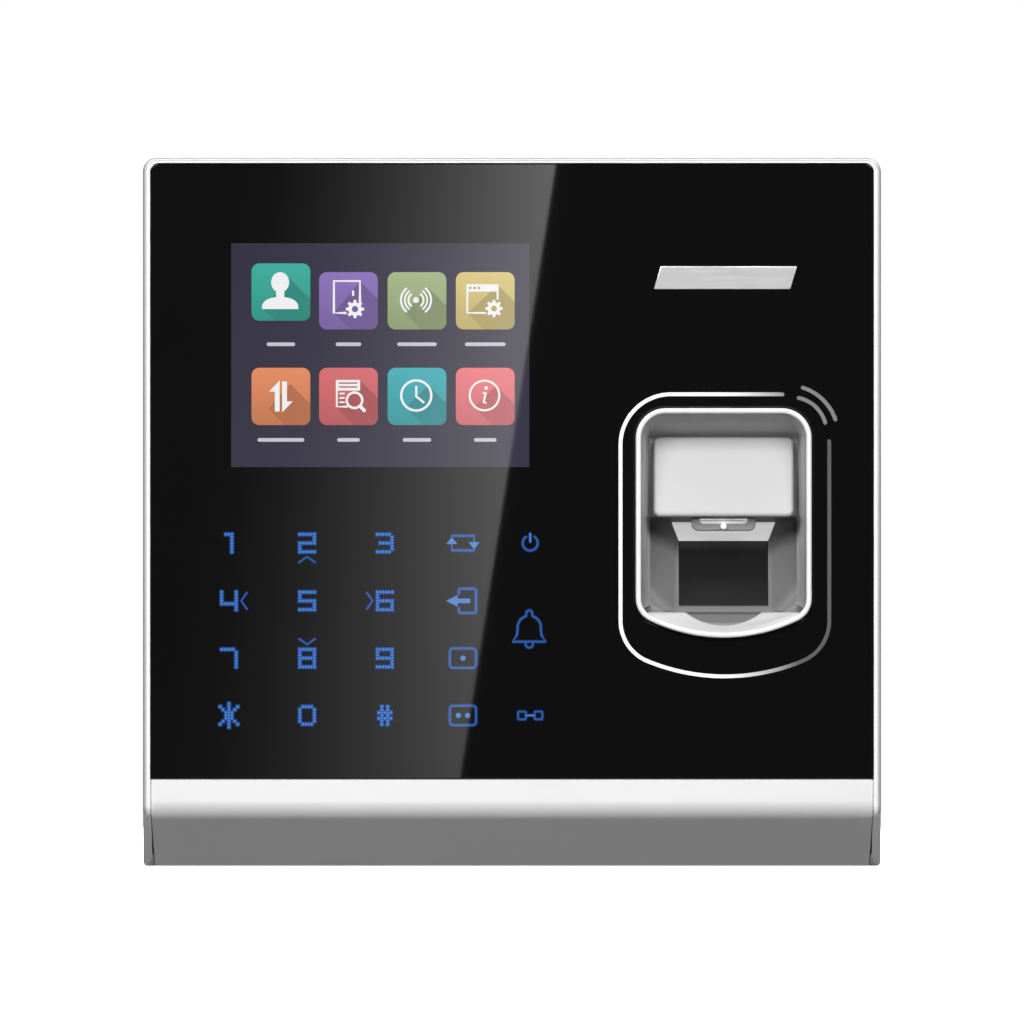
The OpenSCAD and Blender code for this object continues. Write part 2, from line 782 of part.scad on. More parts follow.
module speaker() color("#1b1b1d") {
    difference() {
        along_z(speaker_box[2], speaker_box[3])
            rounded(speaker_box[0], speaker_box[1], speaker_front, boss_back, 2.5);
        along_z(-72, -70.3) rounded(speaker_box[0] + 1.5, speaker_box[1] - 1.5, -17, -10, 1.5);
    }
    along_z(-70.9, -70.2) rounded(42, 56, -15.7, -11.3, 2);
}

// ---------------------------------------------------------------- tamper switch

module tamper_switch() color(black) difference() {
    rod_y(tamper_x, 0, 4.4, board_back, board_back + 3);
    rod_y(tamper_x, 0, 3.3, board_back + 0.5, 0);
}

module tamper_plunger() color("#f2f2f0") {
    translate([tamper_x, tip_y, 0]) sphere(r = plunger_r);
    rod_y(tamper_x, 0, plunger_r, board_back + 2, tip_y);
    rod_y(tamper_x, 0, 3.1, flange_back - 1, flange_back);
}

// The spring's wire is swept along a helix
spring_turns = 4;
spring_steps = 14;
spring_sides = 6;
spring_wire = 0.22;
spring_coil = 2.5;
spring_y0 = board_back + 0.5 + spring_wire + 0.03;
spring_y1 = flange_back - 1 - spring_wire - 0.03;

function spring_ring(i) =
    let (a = 360 * i / spring_steps, n = spring_turns * spring_steps)
    [for (k = [0:spring_sides - 1])
        let (b = 360 * k / spring_sides, r = spring_coil + spring_wire * cos(b))
        [r * cos(a), spring_y0 + (spring_y1 - spring_y0) * i / n + spring_wire * sin(b), r * sin(a)]];

module tamper_spring() color(steel) {
    n = spring_turns * spring_steps;
    points = [for (i = [0:n]) each spring_ring(i)];
    sides = [for (i = [0:n - 1], k = [0:spring_sides - 1])
        let (a = i * spring_sides + k, b = i * spring_sides + (k + 1) % spring_sides)
        [a, a + spring_sides, b + spring_sides, b]];
    ends = [
        [for (k = [0:spring_sides - 1]) k],
        [for (k = [spring_sides - 1:-1:0]) n * spring_sides + k]
    ];
    translate([tamper_x, 0, 0]) polyhedron(points, concat(sides, ends));
}

// ---------------------------------------------------------------- reset switch

module reset_switch() color(steel) difference() {
    box_y([reset_x - reset_half, reset_x + reset_half, reset_z - reset_half, reset_z + reset_half],
        board_back, board_back + 3.4);
    rod_y(reset_x, reset_z, cap_r + skin, board_back + 1.2, 0);
}

module reset_button() color("#c83a32") rod_y(reset_x, reset_z, cap_r, board_back + 1.7, board_back + 4.8);

// ---------------------------------------------------------------- rear cover

module recess(g) {
    rounded(-plate_w / 2 - 1 - g, plate_w / 2 + 1 + g, -plate_h / 2 - 1 - lift - g, plate_h / 2 + 1 + g, 5);
    rect(-tab_half - 1 - g, tab_half + 1 + g, -half_h - g, 0);
}

module case_tube(p) rod_y(p[0], p[1], case_tube_r, tongue_front - gap, cover_back);

// The space behind the cable window, grown by g
module connector_room(g)
    rounded(-cable_half_w - g, cable_half_w + g, -cable_half_h - g, cable_half_h + g, min(g, 3) + 0.5);

// Two rows of slots over the boards
module vents()
    for (i = [0:11], z = [57.4, 61.2]) let (x = -44 + 8 * i)
        block([x - 2.6, -8, z], [x + 2.6, past, z + 1.4]);

module rear_cover() color(dark_plastic) difference() {
    union() {
        // Tray with a tongue that fits inside the frame
        difference() {
            union() {
                along_y(frame_back, cover_back) rounded(-half_w + 1.2, half_w - 1.2, -half_h + 1.2, half_h - 1.2, 2.4);
                along_y(tongue_front, frame_back) rounded(-half_w + 2, half_w - 2, -half_h + 2, half_h - 2, 1.2);
            }
            along_y(-9, cover_back - 2) rounded(-half_w + 3.6, half_w - 3.6, -half_h + 3.6, half_h - 3.6, 1);
        }
        // Recess for the wall plate
        intersection() {
            along_y(recess_front, cover_back) recess(2);
            along_y(recess_front, cover_back) rect(-half_w + 2, half_w - 2, -half_h + 2, half_h - 2);
        }
        // Walls round the connectors
        along_y(board_back + 0.2, recess_back) connector_room(3);
        for (p = case_holes) case_tube(p);
        // Guide for the tamper plunger
        rod_y(tamper_x, 0, 4, guide_front, recess_back);
        // Housing over the security tab, and the post for the insert
        block([-tab_half - 3.5, tab_front - 2.5, -half_h + 2], [tab_half + 3.5, cover_back, tab_z + 3.4]);
        translate([0, screw_y, tab_z + 2]) cylinder(r = case_tube_r, h = 10.6);
    }
    along_y(recess_back, past) recess(0);
    along_y(board_back, past) connector_room(1.5);
    // Slots for the hooks
    for (x = [-hook_x, hook_x], z = hook_z)
        block([x - hook_w / 2 - 0.6, -12, z - lift - 0.3], [x + hook_w / 2 + 0.6, past, z + plate_t + 0.05]);
    for (p = case_holes) {
        rod_y(p[0], p[1], case_shank_r + 0.2, -12, past);
        rod_y(p[0], p[1], case_head_r + 0.3, recess_back, past);
    }
    rod_y(tamper_x, 0, plunger_r + 0.06, -9, past);
    // Room for the security tab, its screw and the insert
    block([-tab_half - 1.5, tab_front - 1, -half_h - past], [tab_half + 1.5, past, tab_z + plate_t + 0.2]);
    translate([0, screw_y, tab_z]) cylinder(r = insert_r, h = 11.2);
    vents();
}

module rear_label() color("#d7d9db")
    along_y(cover_back, cover_back + 0.1) panel(label_plate, 0.8);

module security_insert() color("#b08d3e") difference() {
    translate([0, screw_y, tab_z + 3.4]) cylinder(r = insert_r - 0.02, h = 7.4);
    translate([0, screw_y, tab_z + 3]) cylinder(r = case_shank_r + 0.05, h = 9);
}

module case_screws() color(steel)
    for (p = case_holes) screw_y_axis(p[0], p[1], -2.4, case_head_r, 1.8, case_shank_r, 14);

// ---------------------------------------------------------------- assembly

wall_plate();
security_screw();
front_frame();
chin_trim();
front_glass();
glass_adhesive();
nameplate();
scanner_bezel();
finger_channel();
scanner_hood();
finger_stop();
status_light_bar();
status_light_lens();
sensor_window();
sensor_prism();
sensor_housing();
sensor_camera();
sensor_ribbon();
display_tray();
display_backlight();
display_panel();
display_ribbon();
key_light_grid();
key_leds();
keypad_board();
keypad_ribbon();
card_antenna_board();
card_antenna_coil();
chassis();
chassis_screws();
main_board();
main_board_screws();
processor();
shield_can();
lock_relay();
capacitors();
battery_holder();
backup_battery();
ribbon_connectors();
ethernet_jack();
wiring_terminal_left();
wiring_terminal_right();
power_terminal();
usb_port();
speaker();
tamper_switch();
tamper_plunger();
tamper_spring();
reset_switch();
reset_button();
rear_cover();
rear_label();
security_insert();
case_screws();
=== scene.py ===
# %% [markdown]
# # A wall-mounted fingerprint terminal
#
# The terminal is a black glass front in a silver frame. Behind the glass sit a small colour display and a field of
# touch keys that are lit from behind, and beside them a hole in the glass leads into a sloping bay with an optical
# finger sensor. The designed model fixes every size and every joint. This script gives it its surfaces: pieces with
# soft edges where the eye is close, and a worked-out finish for each material.

# %% Load the designed model
import json
import math

import bmesh
import bpy
import numpy as np
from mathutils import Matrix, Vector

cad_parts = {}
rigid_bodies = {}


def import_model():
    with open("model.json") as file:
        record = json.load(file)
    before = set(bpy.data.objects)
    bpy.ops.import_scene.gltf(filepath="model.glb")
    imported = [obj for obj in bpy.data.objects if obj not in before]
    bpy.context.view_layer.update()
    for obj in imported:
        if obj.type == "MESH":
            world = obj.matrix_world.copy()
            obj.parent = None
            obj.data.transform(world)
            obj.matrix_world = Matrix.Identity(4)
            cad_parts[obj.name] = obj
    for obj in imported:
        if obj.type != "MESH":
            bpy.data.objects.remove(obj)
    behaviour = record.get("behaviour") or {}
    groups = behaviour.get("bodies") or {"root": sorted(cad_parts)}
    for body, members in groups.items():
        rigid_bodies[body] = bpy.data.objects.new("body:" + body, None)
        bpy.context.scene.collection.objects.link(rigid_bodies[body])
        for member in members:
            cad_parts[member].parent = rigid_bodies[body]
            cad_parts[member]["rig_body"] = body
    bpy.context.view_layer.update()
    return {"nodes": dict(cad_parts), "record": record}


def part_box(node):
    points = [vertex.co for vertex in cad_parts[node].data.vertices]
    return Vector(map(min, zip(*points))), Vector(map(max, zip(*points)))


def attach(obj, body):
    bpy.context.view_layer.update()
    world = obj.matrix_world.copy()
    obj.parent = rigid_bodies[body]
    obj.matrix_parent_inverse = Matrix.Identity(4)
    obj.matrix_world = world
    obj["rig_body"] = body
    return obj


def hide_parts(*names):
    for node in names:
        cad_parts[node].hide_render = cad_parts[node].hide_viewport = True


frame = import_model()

MM = 0.001
nodes = frame["nodes"]


# %% [markdown]
# ## Sizes from the model
#
# Every new piece takes its place from the boxes of the designed nodes, so it can't drift away from the parts that it
# covers. A box gives two corners in metres. Millimetres are easier to read for an object of this size, so everything
# below is in millimetres and is scaled once, when a mesh is made.

# %% Read the boxes in millimetres
def box_mm(node):
    """The lowest and the highest corner of a node, in millimetres."""
    low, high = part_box(node)
    return np.array(low) / MM, np.array(high) / MM


frame_low, frame_high = box_mm("front_frame")
glass_low, glass_high = box_mm("front_glass")
bezel_low, bezel_high = box_mm("scanner_bezel")
chin_low, chin_high = box_mm("chin_trim")
hood_low, hood_high = box_mm("scanner_hood")
GLASS_Y = glass_low[1]
GLASS_BACK = glass_high[1]
BAY_X = (bezel_low[0] + bezel_high[0]) / 2
print("glass from", glass_low.round(2), "to", glass_high.round(2), "bay at", round(float(BAY_X), 2))


# %% [markdown]
# ## Surfaces from rings
#
# A moulded or pressed piece is a row of rings: each ring is the piece's outline at one depth, pulled in a little where
# an edge is rounded. Joining neighbouring rings with quads and closing both ends gives a watertight skin with even
# faces. The same few lines make a plate, a rim, a printed line and a lens. A subdivided cube could be rounded too, but
# its edges would be as soft at the corners as in the middle, and it wouldn't follow an outline that bows.

# %% Quads of a grid
def grid_quads(rows, cols, wrap_rows=False, wrap_cols=True):
    """Quads between the points of a rows x cols grid; a wrapped side joins its last point to its first."""
    r = np.arange(rows if wrap_rows else rows - 1)[:, None]
    c = np.arange(cols if wrap_cols else cols - 1)[None, :]
    r1, c1 = (r + 1) % rows, (c + 1) % cols
    return np.stack([r * cols + c, r * cols + c1, r1 * cols + c1, r1 * cols + c], -1).reshape(-1, 4)


# %% A skin of closed shells
class Skin:
    """Gathers closed shells in millimetres, each with a tint of its own, and makes one object of them in metres."""

    def __init__(self):
        self.points, self.quads, self.caps, self.tints, self.count = [], [], [], [], 0

    def shell(self, points, quads, caps=(), tint=(1, 1, 1)):
        """Adds one closed shell. Its volume is a sixth of the sum of its triangles' triple products, and if that
        is negative the faces point inwards and are turned round."""
        points = np.asarray(points, float).reshape(-1, 3)
        fans = [np.stack([np.full(len(c) - 2, c[0]), c[1:-1], c[2:]], -1) for c in caps]
        a, b, c = points[np.vstack([quads[:, [0, 1, 2]], quads[:, [0, 2, 3]], *fans])].transpose(1, 0, 2)
        turn = -1 if np.sum(a * np.cross(b, c)) < 0 else 1
        self.quads.append(quads[:, ::turn] + self.count)
        self.caps += [tuple((cap[::turn] + self.count).tolist()) for cap in caps]
        self.points.append(points)
        self.tints.append(np.broadcast_to(np.asarray(tint, float), points.shape))
        self.count += len(points)
        return self

    def loft(self, rings, ring=False, tint=(1, 1, 1)):
        """Joins rings of equal length; the ends are closed with one face each, or to each other."""
        rings = np.asarray(rings, float)
        rows, cols = rings.shape[:2]
        ends = () if ring else (np.arange(cols)[::-1], np.arange((rows - 1) * cols, rows * cols))
        return self.shell(rings, grid_quads(rows, cols, wrap_rows=ring), ends, tint)

    def make(self, name, body="terminal", sharp=35, tinted=False):
        """One mesh object with smooth faces, and with sharp edges where faces meet at more than that angle."""
        mesh = bpy.data.meshes.new(name)
        mesh.from_pydata((np.vstack(self.points) * MM).tolist(), [], np.vstack(self.quads).tolist() + self.caps)
        mesh.polygons.foreach_set("use_smooth", np.ones(len(mesh.polygons), bool))
        if tinted:
            colours = np.hstack([np.vstack(self.tints), np.ones((self.count, 1))])
            mesh.attributes.new("tint", "FLOAT_COLOR", "POINT").data.foreach_set("color", colours.ravel())
        mesh.set_sharp_from_angle(angle=math.radians(sharp))
        mesh.update()
        piece = bpy.data.objects.new(name, mesh)
        bpy.context.scene.collection.objects.link(piece)
        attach(piece, body)
        print(name, len(mesh.vertices), "points", len(mesh.polygons), "faces")
        return piece


# %% Outlines and plates
MITRE_LIMIT = 0.7


def at_depth(outline, y):
    """Puts an outline of X and Z points at one depth."""
    outline = np.asarray(outline, float)
    return np.stack([outline[:, 0], np.broadcast_to(y, len(outline)), outline[:, 1]], -1)


def inset(outline, d):
    """Moves each point of a closed outline inwards by d, along the line that halves its corner: the sum of the two
    sides' normals over one plus their product. The limit stops a sharp corner from shooting across the piece."""
    outline = np.asarray(outline, float)
    after, before = np.roll(outline, -1, 0) - outline, outline - np.roll(outline, 1, 0)
    after /= np.linalg.norm(after, axis=1, keepdims=True)
    before /= np.linalg.norm(before, axis=1, keepdims=True)
    n0, n1 = np.stack([before[:, 1], -before[:, 0]], -1), np.stack([after[:, 1], -after[:, 0]], -1)
    area = np.sum(outline[:, 0] * np.roll(outline[:, 1], -1) - np.roll(outline[:, 0], -1) * outline[:, 1])
    half = (n0 + n1) / np.maximum(1 + np.sum(n0 * n1, 1, keepdims=True), MITRE_LIMIT)
    return outline - np.sign(area) * d * half


def edge_steps(radius, steps=4, hold=0.03):
    """Pairs of inset and depth along a quarter circle, from the side wall to the face. One more pair close to each
    end lies in the flat, so that smooth shading bends only over the arc and the flats stay true mirrors."""
    a = np.linspace(0, np.pi / 2, steps + 1)
    arc_pairs = [(radius * (1 - np.cos(t)), radius * (1 - np.sin(t))) for t in a]
    return [(0.0, radius + hold), *arc_pairs, (radius + hold, 0.0)]


def plate(skin, outline, front, back, edge=0.0, steps=4, tint=(1, 1, 1)):
    """A flat piece between two depths, whose front edge is rounded over a quarter circle. The depths may be
    numbers, or one for each point of the outline."""
    outline = np.asarray(outline, float)
    rings = [at_depth(outline, back)]
    for d, y in edge_steps(edge, steps) if edge else [(0, 0)]:
        rings.append(at_depth(inset(outline, d) if d else outline, front + y))
    return skin.loft(rings, tint=tint)


def rounded_rect(x0, x1, z0, z1, r, n=8):
    """A rectangle whose corners are quarter circles of radius r, or of one radius for each corner."""
    r = np.broadcast_to(r, 4)
    centres = [(x1 - r[0], z1 - r[0]), (x0 + r[1], z1 - r[1]), (x0 + r[2], z0 + r[2]), (x1 - r[3], z0 + r[3])]
    a = np.linspace(0, np.pi / 2, n + 1)
    arcs = [np.stack([cx + q * np.cos(a + k * np.pi / 2), cz + q * np.sin(a + k * np.pi / 2)], -1)
            for k, ((cx, cz), q) in enumerate(zip(centres, r))]
    return np.vstack(arcs)


# %% [markdown]
# ## Printed lines
#
# The light lines on the glass are inks and lit legends, so each is a flat ribbon with round ends. A ribbon is a row of
# stations along a path, and each station is a tiny rectangle across the path. At a round end the stations draw
# together as the half-width follows a quarter circle. A curve object with a bevel would need its own depth and ends,
# and couldn't be joined with the others into one printed layer.

# %% Ribbons
INK = 0.012


def ribbon(skin, path, width, front, closed=False, thick=INK, tint=(1, 1, 1)):
    """Carries a flat rectangle along a path of X and Z points; open ends are rounded."""
    path = np.asarray(path, float)
    if closed:
        tangent = np.roll(path, -1, 0) - np.roll(path, 1, 0)
        half = np.full(len(path), width / 2)
    else:
        a = np.linspace(np.pi / 2, 0, 6)[:-1]
        first, last = path[0] - path[1], path[-1] - path[-2]
        first, last = first / np.linalg.norm(first), last / np.linalg.norm(last)
        reach = width / 2 * np.sin(a)[:, None]
        path = np.vstack([path[0] + first * reach, path, (path[-1] + last * reach)[::-1]])
        taper = width / 2 * np.maximum(np.cos(a), 0.08)
        half = np.concatenate([taper, np.full(len(path) - 2 * len(a), width / 2), taper[::-1]])
        tangent = np.gradient(path, axis=0)
    tangent = tangent / np.linalg.norm(tangent, axis=1, keepdims=True)
    across = np.stack([tangent[:, 1], -tangent[:, 0]], -1) * half[:, None]
    left, right = path + across, path - across
    rings = np.stack([at_depth(left, front), at_depth(right, front),
                      at_depth(right, front + thick), at_depth(left, front + thick)], 1)
    return skin.loft(rings, ring=closed, tint=tint)


def arc(x, z, r, a0, a1, n=24):
    """Points on a circle from one angle to another, in degrees."""
    a = np.radians(np.linspace(a0, a1, n))
    return np.stack([x + r * np.cos(a), z + r * np.sin(a)], -1)


def ellipse(x, z, rx, rz, n=32):
    """Points round an ellipse, once, from its right end."""
    a = np.linspace(0, 2 * np.pi, n, endpoint=False)
    return np.stack([x + rx * np.cos(a), z + rz * np.sin(a)], -1)


# %% [markdown]
# ## Shader sums in plain Python
#
# A finish is mostly arithmetic on noise and on position. The class below wraps a socket and overloads the operators,
# so `0.3 + 0.1 * grain` adds the Math nodes by itself. One more method makes any other node.

# %% Finishes as expressions
class Value:
    """A socket that can be added, multiplied and compared."""

    def __init__(self, finish, socket):
        self.finish, self.socket = finish, socket

    def maths(self, operation, *others, clamp=False):
        return self.finish.node("ShaderNodeMath", {"operation": operation, "use_clamp": clamp}, [self, *others])

    def __add__(self, other): return self.maths("ADD", other)
    def __radd__(self, other): return self.maths("ADD", other)
    def __sub__(self, other): return self.maths("SUBTRACT", other)
    def __rsub__(self, other): return self.finish.node("ShaderNodeMath", {"operation": "SUBTRACT"}, [other, self])
    def __mul__(self, other): return self.maths("MULTIPLY", other)
    def __rmul__(self, other): return self.maths("MULTIPLY", other)
    def __truediv__(self, other): return self.maths("DIVIDE", other)
    def __pow__(self, other): return self.maths("POWER", other)
    def __abs__(self): return self.maths("ABSOLUTE")

    def step(self, start, end):
        """0 below start and 1 above end, with a smooth rise between them."""
        smooth = {"interpolation_type": "SMOOTHSTEP"}
        return self.finish.node("ShaderNodeMapRange", smooth, [self, start, end, 0.0, 1.0])

    def between(self, low, high):
        """Spreads a value of 0 to 1 over low to high."""
        return self * (high - low) + low


# %% A material with named inputs
class Finish:
    """A material with one Principled shader, whose inputs are set by name."""

    def __init__(self, name):
        self.material = bpy.data.materials.new(name)
        self.material.use_nodes = True
        self.tree = self.material.node_tree
        self.shader = self.tree.nodes["Principled BSDF"]

    def node(self, kind, settings=(), inputs=(), output=0):
        """Adds a node, sets it up, feeds its inputs by place or by name, and returns one output."""
        made = self.tree.nodes.new(kind)
        for key, value in dict(settings).items():
            setattr(made, key, value)
        for key, value in inputs.items() if isinstance(inputs, dict) else enumerate(inputs):
            self.feed(made.inputs[key], value)
        return Value(self, made.outputs[output])

    def feed(self, socket, value):
        if isinstance(value, Value):
            self.tree.links.new(value.socket, socket)
        else:
            socket.default_value = value

    def set(self, **inputs):
        for key, value in inputs.items():
            self.feed(self.shader.inputs[key.replace("_", " ")], value)
        return self

    def place(self, scale=1.0):
        """Where a point lies on the object, in millimetres times a scale."""
        where = self.node("ShaderNodeTexCoord", output=3)
        return self.node("ShaderNodeVectorMath", {"operation": "SCALE"}, {0: where, "Scale": scale / MM})

    def axes(self):
        """X, Y and Z on the object in millimetres."""
        split = self.node("ShaderNodeSeparateXYZ", inputs=[self.place()])
        return [Value(self, split.socket.node.outputs[i]) for i in range(3)]

    def noise(self, size, detail=3.0, stretch=None):
        """Cloudy noise of 0 to 1 whose features are about that many millimetres across."""
        where = self.place(1.0 / size)
        if stretch:
            where = self.node("ShaderNodeVectorMath", {"operation": "MULTIPLY"}, [where, stretch])
        return self.node("ShaderNodeTexNoise", inputs={"Vector": where, "Scale": 1.0, "Detail": detail})

    def mix(self, factor, first, second, blend="MIX"):
        """A colour between two colours."""
        made = self.tree.nodes.new("ShaderNodeMix")
        made.data_type, made.blend_type = "RGBA", blend
        for socket, value in zip((made.inputs[0], made.inputs[6], made.inputs[7]), (factor, first, second)):
            self.feed(socket, value)
        return Value(self, made.outputs[2])

    def bump(self, height, depth, strength=1.0):
        """A normal from a height of 0 to 1, where 1 stands depth millimetres proud."""
        return self.node("ShaderNodeBump", inputs={"Height": height, "Distance": depth * MM, "Strength": strength})


# %% Colours
def rgb(r, g, b):
    """An opaque colour."""
    return (r, g, b, 1.0)


def from_hex(code):
    """A display colour such as "2fa58a" as the linear colour that a shader wants."""
    c = np.array([int(code[i:i + 2], 16) / 255 for i in (0, 2, 4)])
    return (*np.where(c <= 0.04045, c / 12.92, ((c + 0.055) / 1.055) ** 2.4).tolist(), 1.0)


def paint(piece, finish):
    """Gives a piece its finish."""
    piece.data.materials.clear()
    piece.data.materials.append(finish.material)
    return piece


# %% [markdown]
# ## The camera and the room
#
# A flat device is shown from straight ahead and from far away, so that its sides hide behind its front. A long lens
# at nine metres does that. The lens follows from the width that has to fit in the frame, at the depth of the glass.
# The world is seen by the camera only: if it lit the scene as well, the black glass would mirror it and turn grey.

# %% Camera, world and floor
CAMERA_Y = -9.0
SENSOR_WIDTH = 36.0
FRAMED_WIDTH = 0.2109
FLOOR_Z = -0.084

scene = bpy.context.scene
scene.view_settings.view_transform = "Standard"
distance = GLASS_Y * MM - CAMERA_Y
lens = bpy.data.cameras.new("long_lens")
lens.sensor_width = SENSOR_WIDTH
lens.lens = SENSOR_WIDTH * distance / FRAMED_WIDTH
lens.clip_start, lens.clip_end = 0.05, 40
camera = bpy.data.objects.new("camera", lens)
camera.location = (0, CAMERA_Y, 0)
camera.rotation_euler = (math.pi / 2, 0, 0)
scene.collection.objects.link(camera)
scene.camera = camera

world = bpy.data.worlds.new("white_room")
world.use_nodes = True
world.node_tree.nodes["Background"].inputs["Color"].default_value = rgb(1, 1, 1)
world.node_tree.nodes["Background"].inputs["Strength"].default_value = 1.0
world.cycles_visibility.diffuse = False
world.cycles_visibility.glossy = False
world.cycles_visibility.transmission = False
scene.world = world


def sheet_object(name, corners):
    """A flat rectangle from its four corners in metres, as a thing of the studio."""
    mesh = bpy.data.meshes.new(name)
    mesh.from_pydata(corners, [], [(0, 1, 2, 3)])
    made = bpy.data.objects.new(name, mesh)
    scene.collection.objects.link(made)
    return made


def level_square(name, half, z):
    """A level square about the origin, at one height."""
    return sheet_object(name, [(-half, -half, z), (half, -half, z), (half, half, z), (-half, half, z)])


floor = level_square("studio_floor", 2.6, FLOOR_Z)
pale = Finish("pale_floor")
grain = pale.noise(60, detail=4)
pale.set(Base_Color=pale.mix(grain, rgb(0.90, 0.90, 0.90), rgb(0.94, 0.94, 0.94)), Roughness=0.85,
         Emission_Color=rgb(1, 1, 1), Emission_Strength=0.85)
floor.data.materials.append(pale.material)
floor.visible_diffuse = floor.visible_glossy = False
print("lens", round(lens.lens), "mm at", round(distance, 3), "m")


# %% [markdown]
# ## Soft light
#
# Large softboxes light the silver and the plastic, and they stand well off the camera's axis, because whatever stands
# close to it is mirrored in the glass. They hang high, so that faces that look down, such as the slope of the chin,
# fall into a soft grey. A card on the floor glows a little and keeps that grey from turning black.

# %% Softboxes
def softbox(name, place, size, power):
    """A rectangular area light at a place in metres, turned so that it shines at the origin: tipped by the angle
    between straight down and the way to the origin, and then turned about Z."""
    x, y, z = place
    light = bpy.data.lights.new(name, "AREA")
    light.shape, light.size, light.size_y = "RECTANGLE", size[0], size[1]
    light.energy = power
    lamp = bpy.data.objects.new(name, light)
    lamp.location = place
    lamp.rotation_euler = (math.atan2(math.hypot(x, y), z), 0, math.atan2(x, -y))
    scene.collection.objects.link(lamp)
    return lamp


softbox("box_left", (-0.95, -2.3, 1.46), (1.1, 1.3), 63)
softbox("box_right", (0.95, -2.3, 1.46), (1.1, 1.3), 56)
softbox("box_top", (0, -0.9, 2.3), (2.4, 1.2), 6)
softbox("box_back", (0.7, 2.3, 1.2), (2.6, 1.8), 95)

bounce = level_square("bounce_card", 1.4, FLOOR_Z + 0.0005)
dim = Finish("bounce_card")
dim.set(Base_Color=rgb(0, 0, 0), Emission_Color=rgb(1, 1, 1), Emission_Strength=0.065)
bounce.data.materials.append(dim.material)
bounce.visible_camera = bounce.visible_shadow = False


# %% [markdown]
# ## The glare on the glass
#
# A glossy panel shows a pale slanting reflection with one sharp edge, where a bright surface behind the camera ends.
# Painting that on the panel would be wrong from any other side. So a card stands behind the camera, glowing most at
# its edge and fading to the left and downwards, and only mirror rays see it. A point of the card is mirrored in the
# glass at a distance that follows from similar triangles, so the card's edge is worked out from two points of the
# glass.

# %% A glowing card behind the camera
CARD_BEHIND = 0.25
GLARE_REACH, GLARE_FALL, GLARE_LOW = 66, 2.2, 0.28
GROW = 1 + (distance + CARD_BEHIND) / distance
EDGE_TOP, EDGE_LOW = (9.06, 71.9), (-10.7, -55.0)


def card_point(x, z):
    """The point of the card that is mirrored at a point of the glass: the ray grows wider by the way back."""
    return x * MM * GROW, CAMERA_Y - CARD_BEHIND, z * MM * GROW


slant = (EDGE_TOP[0] - EDGE_LOW[0]) / (EDGE_TOP[1] - EDGE_LOW[1])
CARD_HIGH, CARD_LOW, CARD_LEFT = 95, -85, -100
top_edge = EDGE_TOP[0] + slant * (CARD_HIGH - EDGE_TOP[1])
low_edge = EDGE_LOW[0] + slant * (CARD_LOW - EDGE_LOW[1])
card = sheet_object("glow_card", [card_point(CARD_LEFT, CARD_LOW), card_point(low_edge, CARD_LOW),
                                  card_point(top_edge, CARD_HIGH), card_point(CARD_LEFT, CARD_HIGH)])
glow = Finish("glow_card")
card_x, _, card_z = glow.axes()
glass_x, height = card_x * (1 / GROW), card_z * (1 / GROW)
left_of_edge = (height - EDGE_LOW[1]) * slant + EDGE_LOW[0] - glass_x
fade = (1 - left_of_edge * (1 / GLARE_REACH)).maths("MAXIMUM", 0.0) ** GLARE_FALL
climb = (height - CARD_LOW) * (1 / (CARD_HIGH - CARD_LOW))
glow.set(Base_Color=rgb(0, 0, 0), Emission_Strength=3.4,
         Emission_Color=glow.mix(fade * climb.between(GLARE_LOW, 1.0), rgb(0, 0, 0), rgb(1, 1, 1)))
card.data.materials.append(glow.material)
card.visible_camera = card.visible_diffuse = card.visible_shadow = card.visible_transmission = False
print("card edge from", round(low_edge, 1), "to", round(top_edge, 1), "mm on the glass")


# %% [markdown]
# ## Finishes for the case
#
# The silver is paint with fine metal flake: mostly an even grey, with tiny brighter and darker specks, and a skin that
# isn't quite flat. The plastics are moulded against an eroded tool, so they have a soft, very fine grain. A grain that
# is larger than the real one makes an object look small, so its size in millimetres is given each time.

# %% Painted and moulded finishes
def tinted(finish, colour):
    """The colour times the tint that a piece stores on its points."""
    return finish.mix(1.0, colour, finish.node("ShaderNodeAttribute", {"attribute_name": "tint"}), "MULTIPLY")


def painted(name, base, metallic, rough, flake=0.05, tint=False):
    """Satin paint: specks of flake in the colour, slow clouds in the gloss and a shallow orange peel."""
    finish = Finish(name)
    speck = finish.noise(0.12, detail=2)
    cloud = finish.noise(14, detail=3)
    dark, light = [rgb(*(c * k for c in base)) for k in (1 - flake, min(1 + flake, 1 / max(base)))]
    peel = finish.noise(0.7, detail=2)
    colour = finish.mix(speck, dark, light)
    return finish.set(Base_Color=tinted(finish, colour) if tint else colour, Metallic=metallic,
                      Roughness=cloud.between(rough - 0.03, rough + 0.03) + speck * 0.03,
                      Normal=finish.bump(peel, 0.006))


def moulded(name, base, rough=0.5, grain=0.22, depth=0.012, vary=0.08, coat=0.0, tint=False):
    """Moulded plastic: a fine eroded grain, a slightly uneven gloss and a colour that drifts by a few percent."""
    finish = Finish(name)
    drift = finish.noise(9, detail=4)
    eroded = finish.noise(grain, detail=2)
    dark, light = [rgb(*(c * k for c in base)) for k in (1 - vary, 1 + vary)]
    if coat:
        finish.set(Coat_Weight=coat, Coat_Roughness=0.12)
    colour = finish.mix(drift, dark, light)
    return finish.set(Base_Color=tinted(finish, colour) if tint else colour,
                      Roughness=drift.between(rough - 0.05, rough + 0.05), Normal=finish.bump(eroded, depth))
